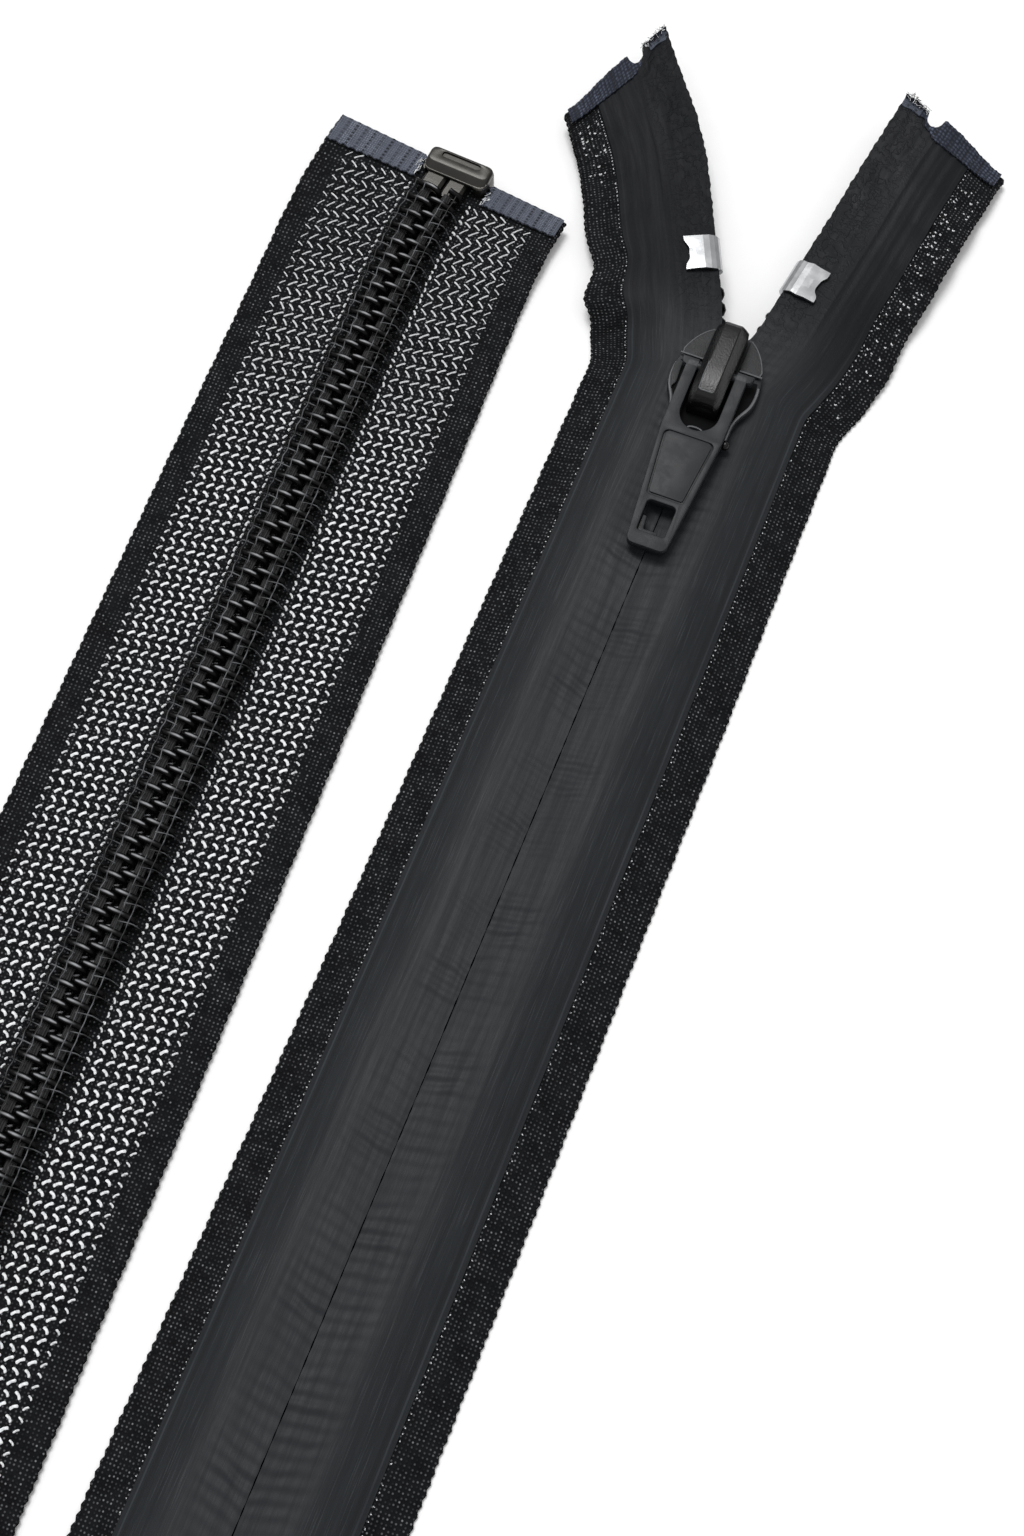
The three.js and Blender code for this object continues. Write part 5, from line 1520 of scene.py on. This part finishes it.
# %% [markdown]
# ## Retainer box
# The box is a small casting with round corners: a roof over the pins, with a long slope that ends in
# a bright lip, a plain sunk place on top, and cheeks, a back wall and a floor round the tape. The
# roof is one stack of rings. Each ring is the same outline drawn in by some amount at the sides, the
# front and the back, and its front part may lie lower than the rest, which makes slope and lip.

# %% Retainer box
BOX_HALF, BOX_NEAR, BOX_FAR = 5.3, -3.0, 1.2
BOX_ASIDE, BOX_TURN = 0.7, math.radians(3.5)
half_outline = [(x, BOX_NEAR) for x in (0.0, 1.5, 3.0)]
half_outline += bow((4.0, BOX_NEAR), (4.75, BOX_NEAR), (BOX_HALF, -2.5), (BOX_HALF, -1.75), 6)
half_outline += [(BOX_HALF, y) for y in (-1.35, -0.95, -0.5, -0.1)]
half_outline += bow((BOX_HALF, 0.15), (BOX_HALF, 0.75), (4.85, BOX_FAR), (4.2, BOX_FAR), 6)
half_outline += [(x, BOX_FAR) for x in (3.0, 1.5)]
BOX_OUTLINE = np.array(half_outline + [(0.0, BOX_FAR)] + mirrored(half_outline[1:]), float)
ROOF_RINGS = [  # drawn in at the sides, front and back, height at the sides and at the front
    (0.5, 0.5, 0.4, 4.1, 4.04), (0.12, 0.1, 0.1, 4.05, 4.0), (0.0, 0.0, 0.0, 4.15, 4.07),
    (0.0, 0.0, 0.0, 4.55, 4.3), (0.02, 0.06, 0.02, 4.66, 4.4), (0.05, 0.15, 0.05, 4.77, 4.44),
    (0.1, 0.26, 0.1, 4.87, 4.42), (0.19, 1.2, 0.2, 5.0, 5.06), (0.32, 1.32, 0.3, 5.1, 5.13),
    (0.52, 1.44, 0.42, 5.16, 5.16), (1.95, 2.5, 0.55, 5.17, 5.17), (2.08, 2.6, 0.6, 5.13, 5.13),
    (2.12, 2.64, 0.64, 4.86, 4.86)]
to_front = 1 - smooth(BOX_OUTLINE[:, 1], -2.6, -0.6)
rings = []
for sides_in, front_in, back_in, z_side, z_front in ROOF_RINGS:
    x = BOX_OUTLINE[:, 0] * (BOX_HALF - sides_in) / BOX_HALF
    share = (BOX_OUTLINE[:, 1] - BOX_NEAR) / (BOX_FAR - BOX_NEAR)
    y = BOX_NEAR + front_in + share * (BOX_FAR - BOX_NEAR - front_in - back_in)
    rings.append(np.stack([x, y, z_side + (z_front - z_side) * to_front], 1))
roof = mesh_of("roof", np.concatenate(rings), skin(len(rings), len(BOX_OUTLINE)))
CHEEKS = [  # left, right, near, far, corner radii, top
    (3.37, BOX_HALF, BOX_NEAR, 0.7, [0.3, 1.2, 0.05, 0.05], 4.25),
    (-BOX_HALF, -4.77, BOX_NEAR, 0.7, [0.42, 0.06, 0.05, 0.05], 4.25),
    (-BOX_HALF, BOX_HALF, 0.32, BOX_FAR, [0.05, 0.05, 0.8, 0.8], 4.25),
    (-BOX_HALF, BOX_HALF, BOX_NEAR, BOX_FAR, [1.2, 1.2, 1.1, 1.1], 0.8)]
casting = [roof]
for left, right, near, far, radii, top in CHEEKS:
    corners = [(left, near), (right, near), (right, far), (left, far)]
    casting.append(plate_mesh([turn_corner(corners, radii)], 0.0, top, 0.12))
tape_end = on_run(TOTAL, BOX_ASIDE, 0.0)
stand = Matrix.Translation((tape_end[0], tape_end[1], 0)) @ Matrix.Rotation(
    float(centre_heading[-1]) + 1.5 * math.pi + BOX_TURN, 4, "Z")
box = mount(join_meshes("box_casting", casting, stand), gunmetal, "chain", "box_metal", "retainer_box")
print("box", [round(v * 1000, 1) for v in box.dimensions], "mm")

# %% [markdown]
# ## What is cloth
# Tape and film are sheets cut flat and then laid, so each is declared with the size that it was cut
# to. The pieces woven or sewn to a tape go with it.

END_PIECES = {"top": ("tip_weave", "tip_roll", "tip_fibres", "tip_frays"), "run": ("band_weave", "band_fibres")}
for (side, part), tape in tapes.items():
    half = HALVES[side]
    low, high = LENGTHS[part](side)
    names = [f"{half}_{form}_{part}" for form in ("selvedge", "floats", "specks")]
    names += [f"{half}_{end}" for end in END_PIECES[part]]
    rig.sheet(tape, flat=(TAPE_HALF * MM, (high - low) * MM), held="laid", rests_on=["table"],
             with_pieces=[bpy.data.objects[name] for name in names])
    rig.sheet(films[side, part], flat=(FILM_HALF * MM, (high - low) * MM), held="laid", rests_on=[tape])
    print(tape.name, round(high - low, 1), "mm long")

# %% [markdown]
# ## Size and the end of the scene
# The box round the imported model and the box round the dressed zipper are both written to a file.

# %% Write down the boxes
boxes = {"cad": [list(v) for v in cad_box], "dressed": [list(v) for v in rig.bounds()]}
with open("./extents.json", "w") as out:
    json.dump(boxes, out)
print(boxes)

# %% [markdown]
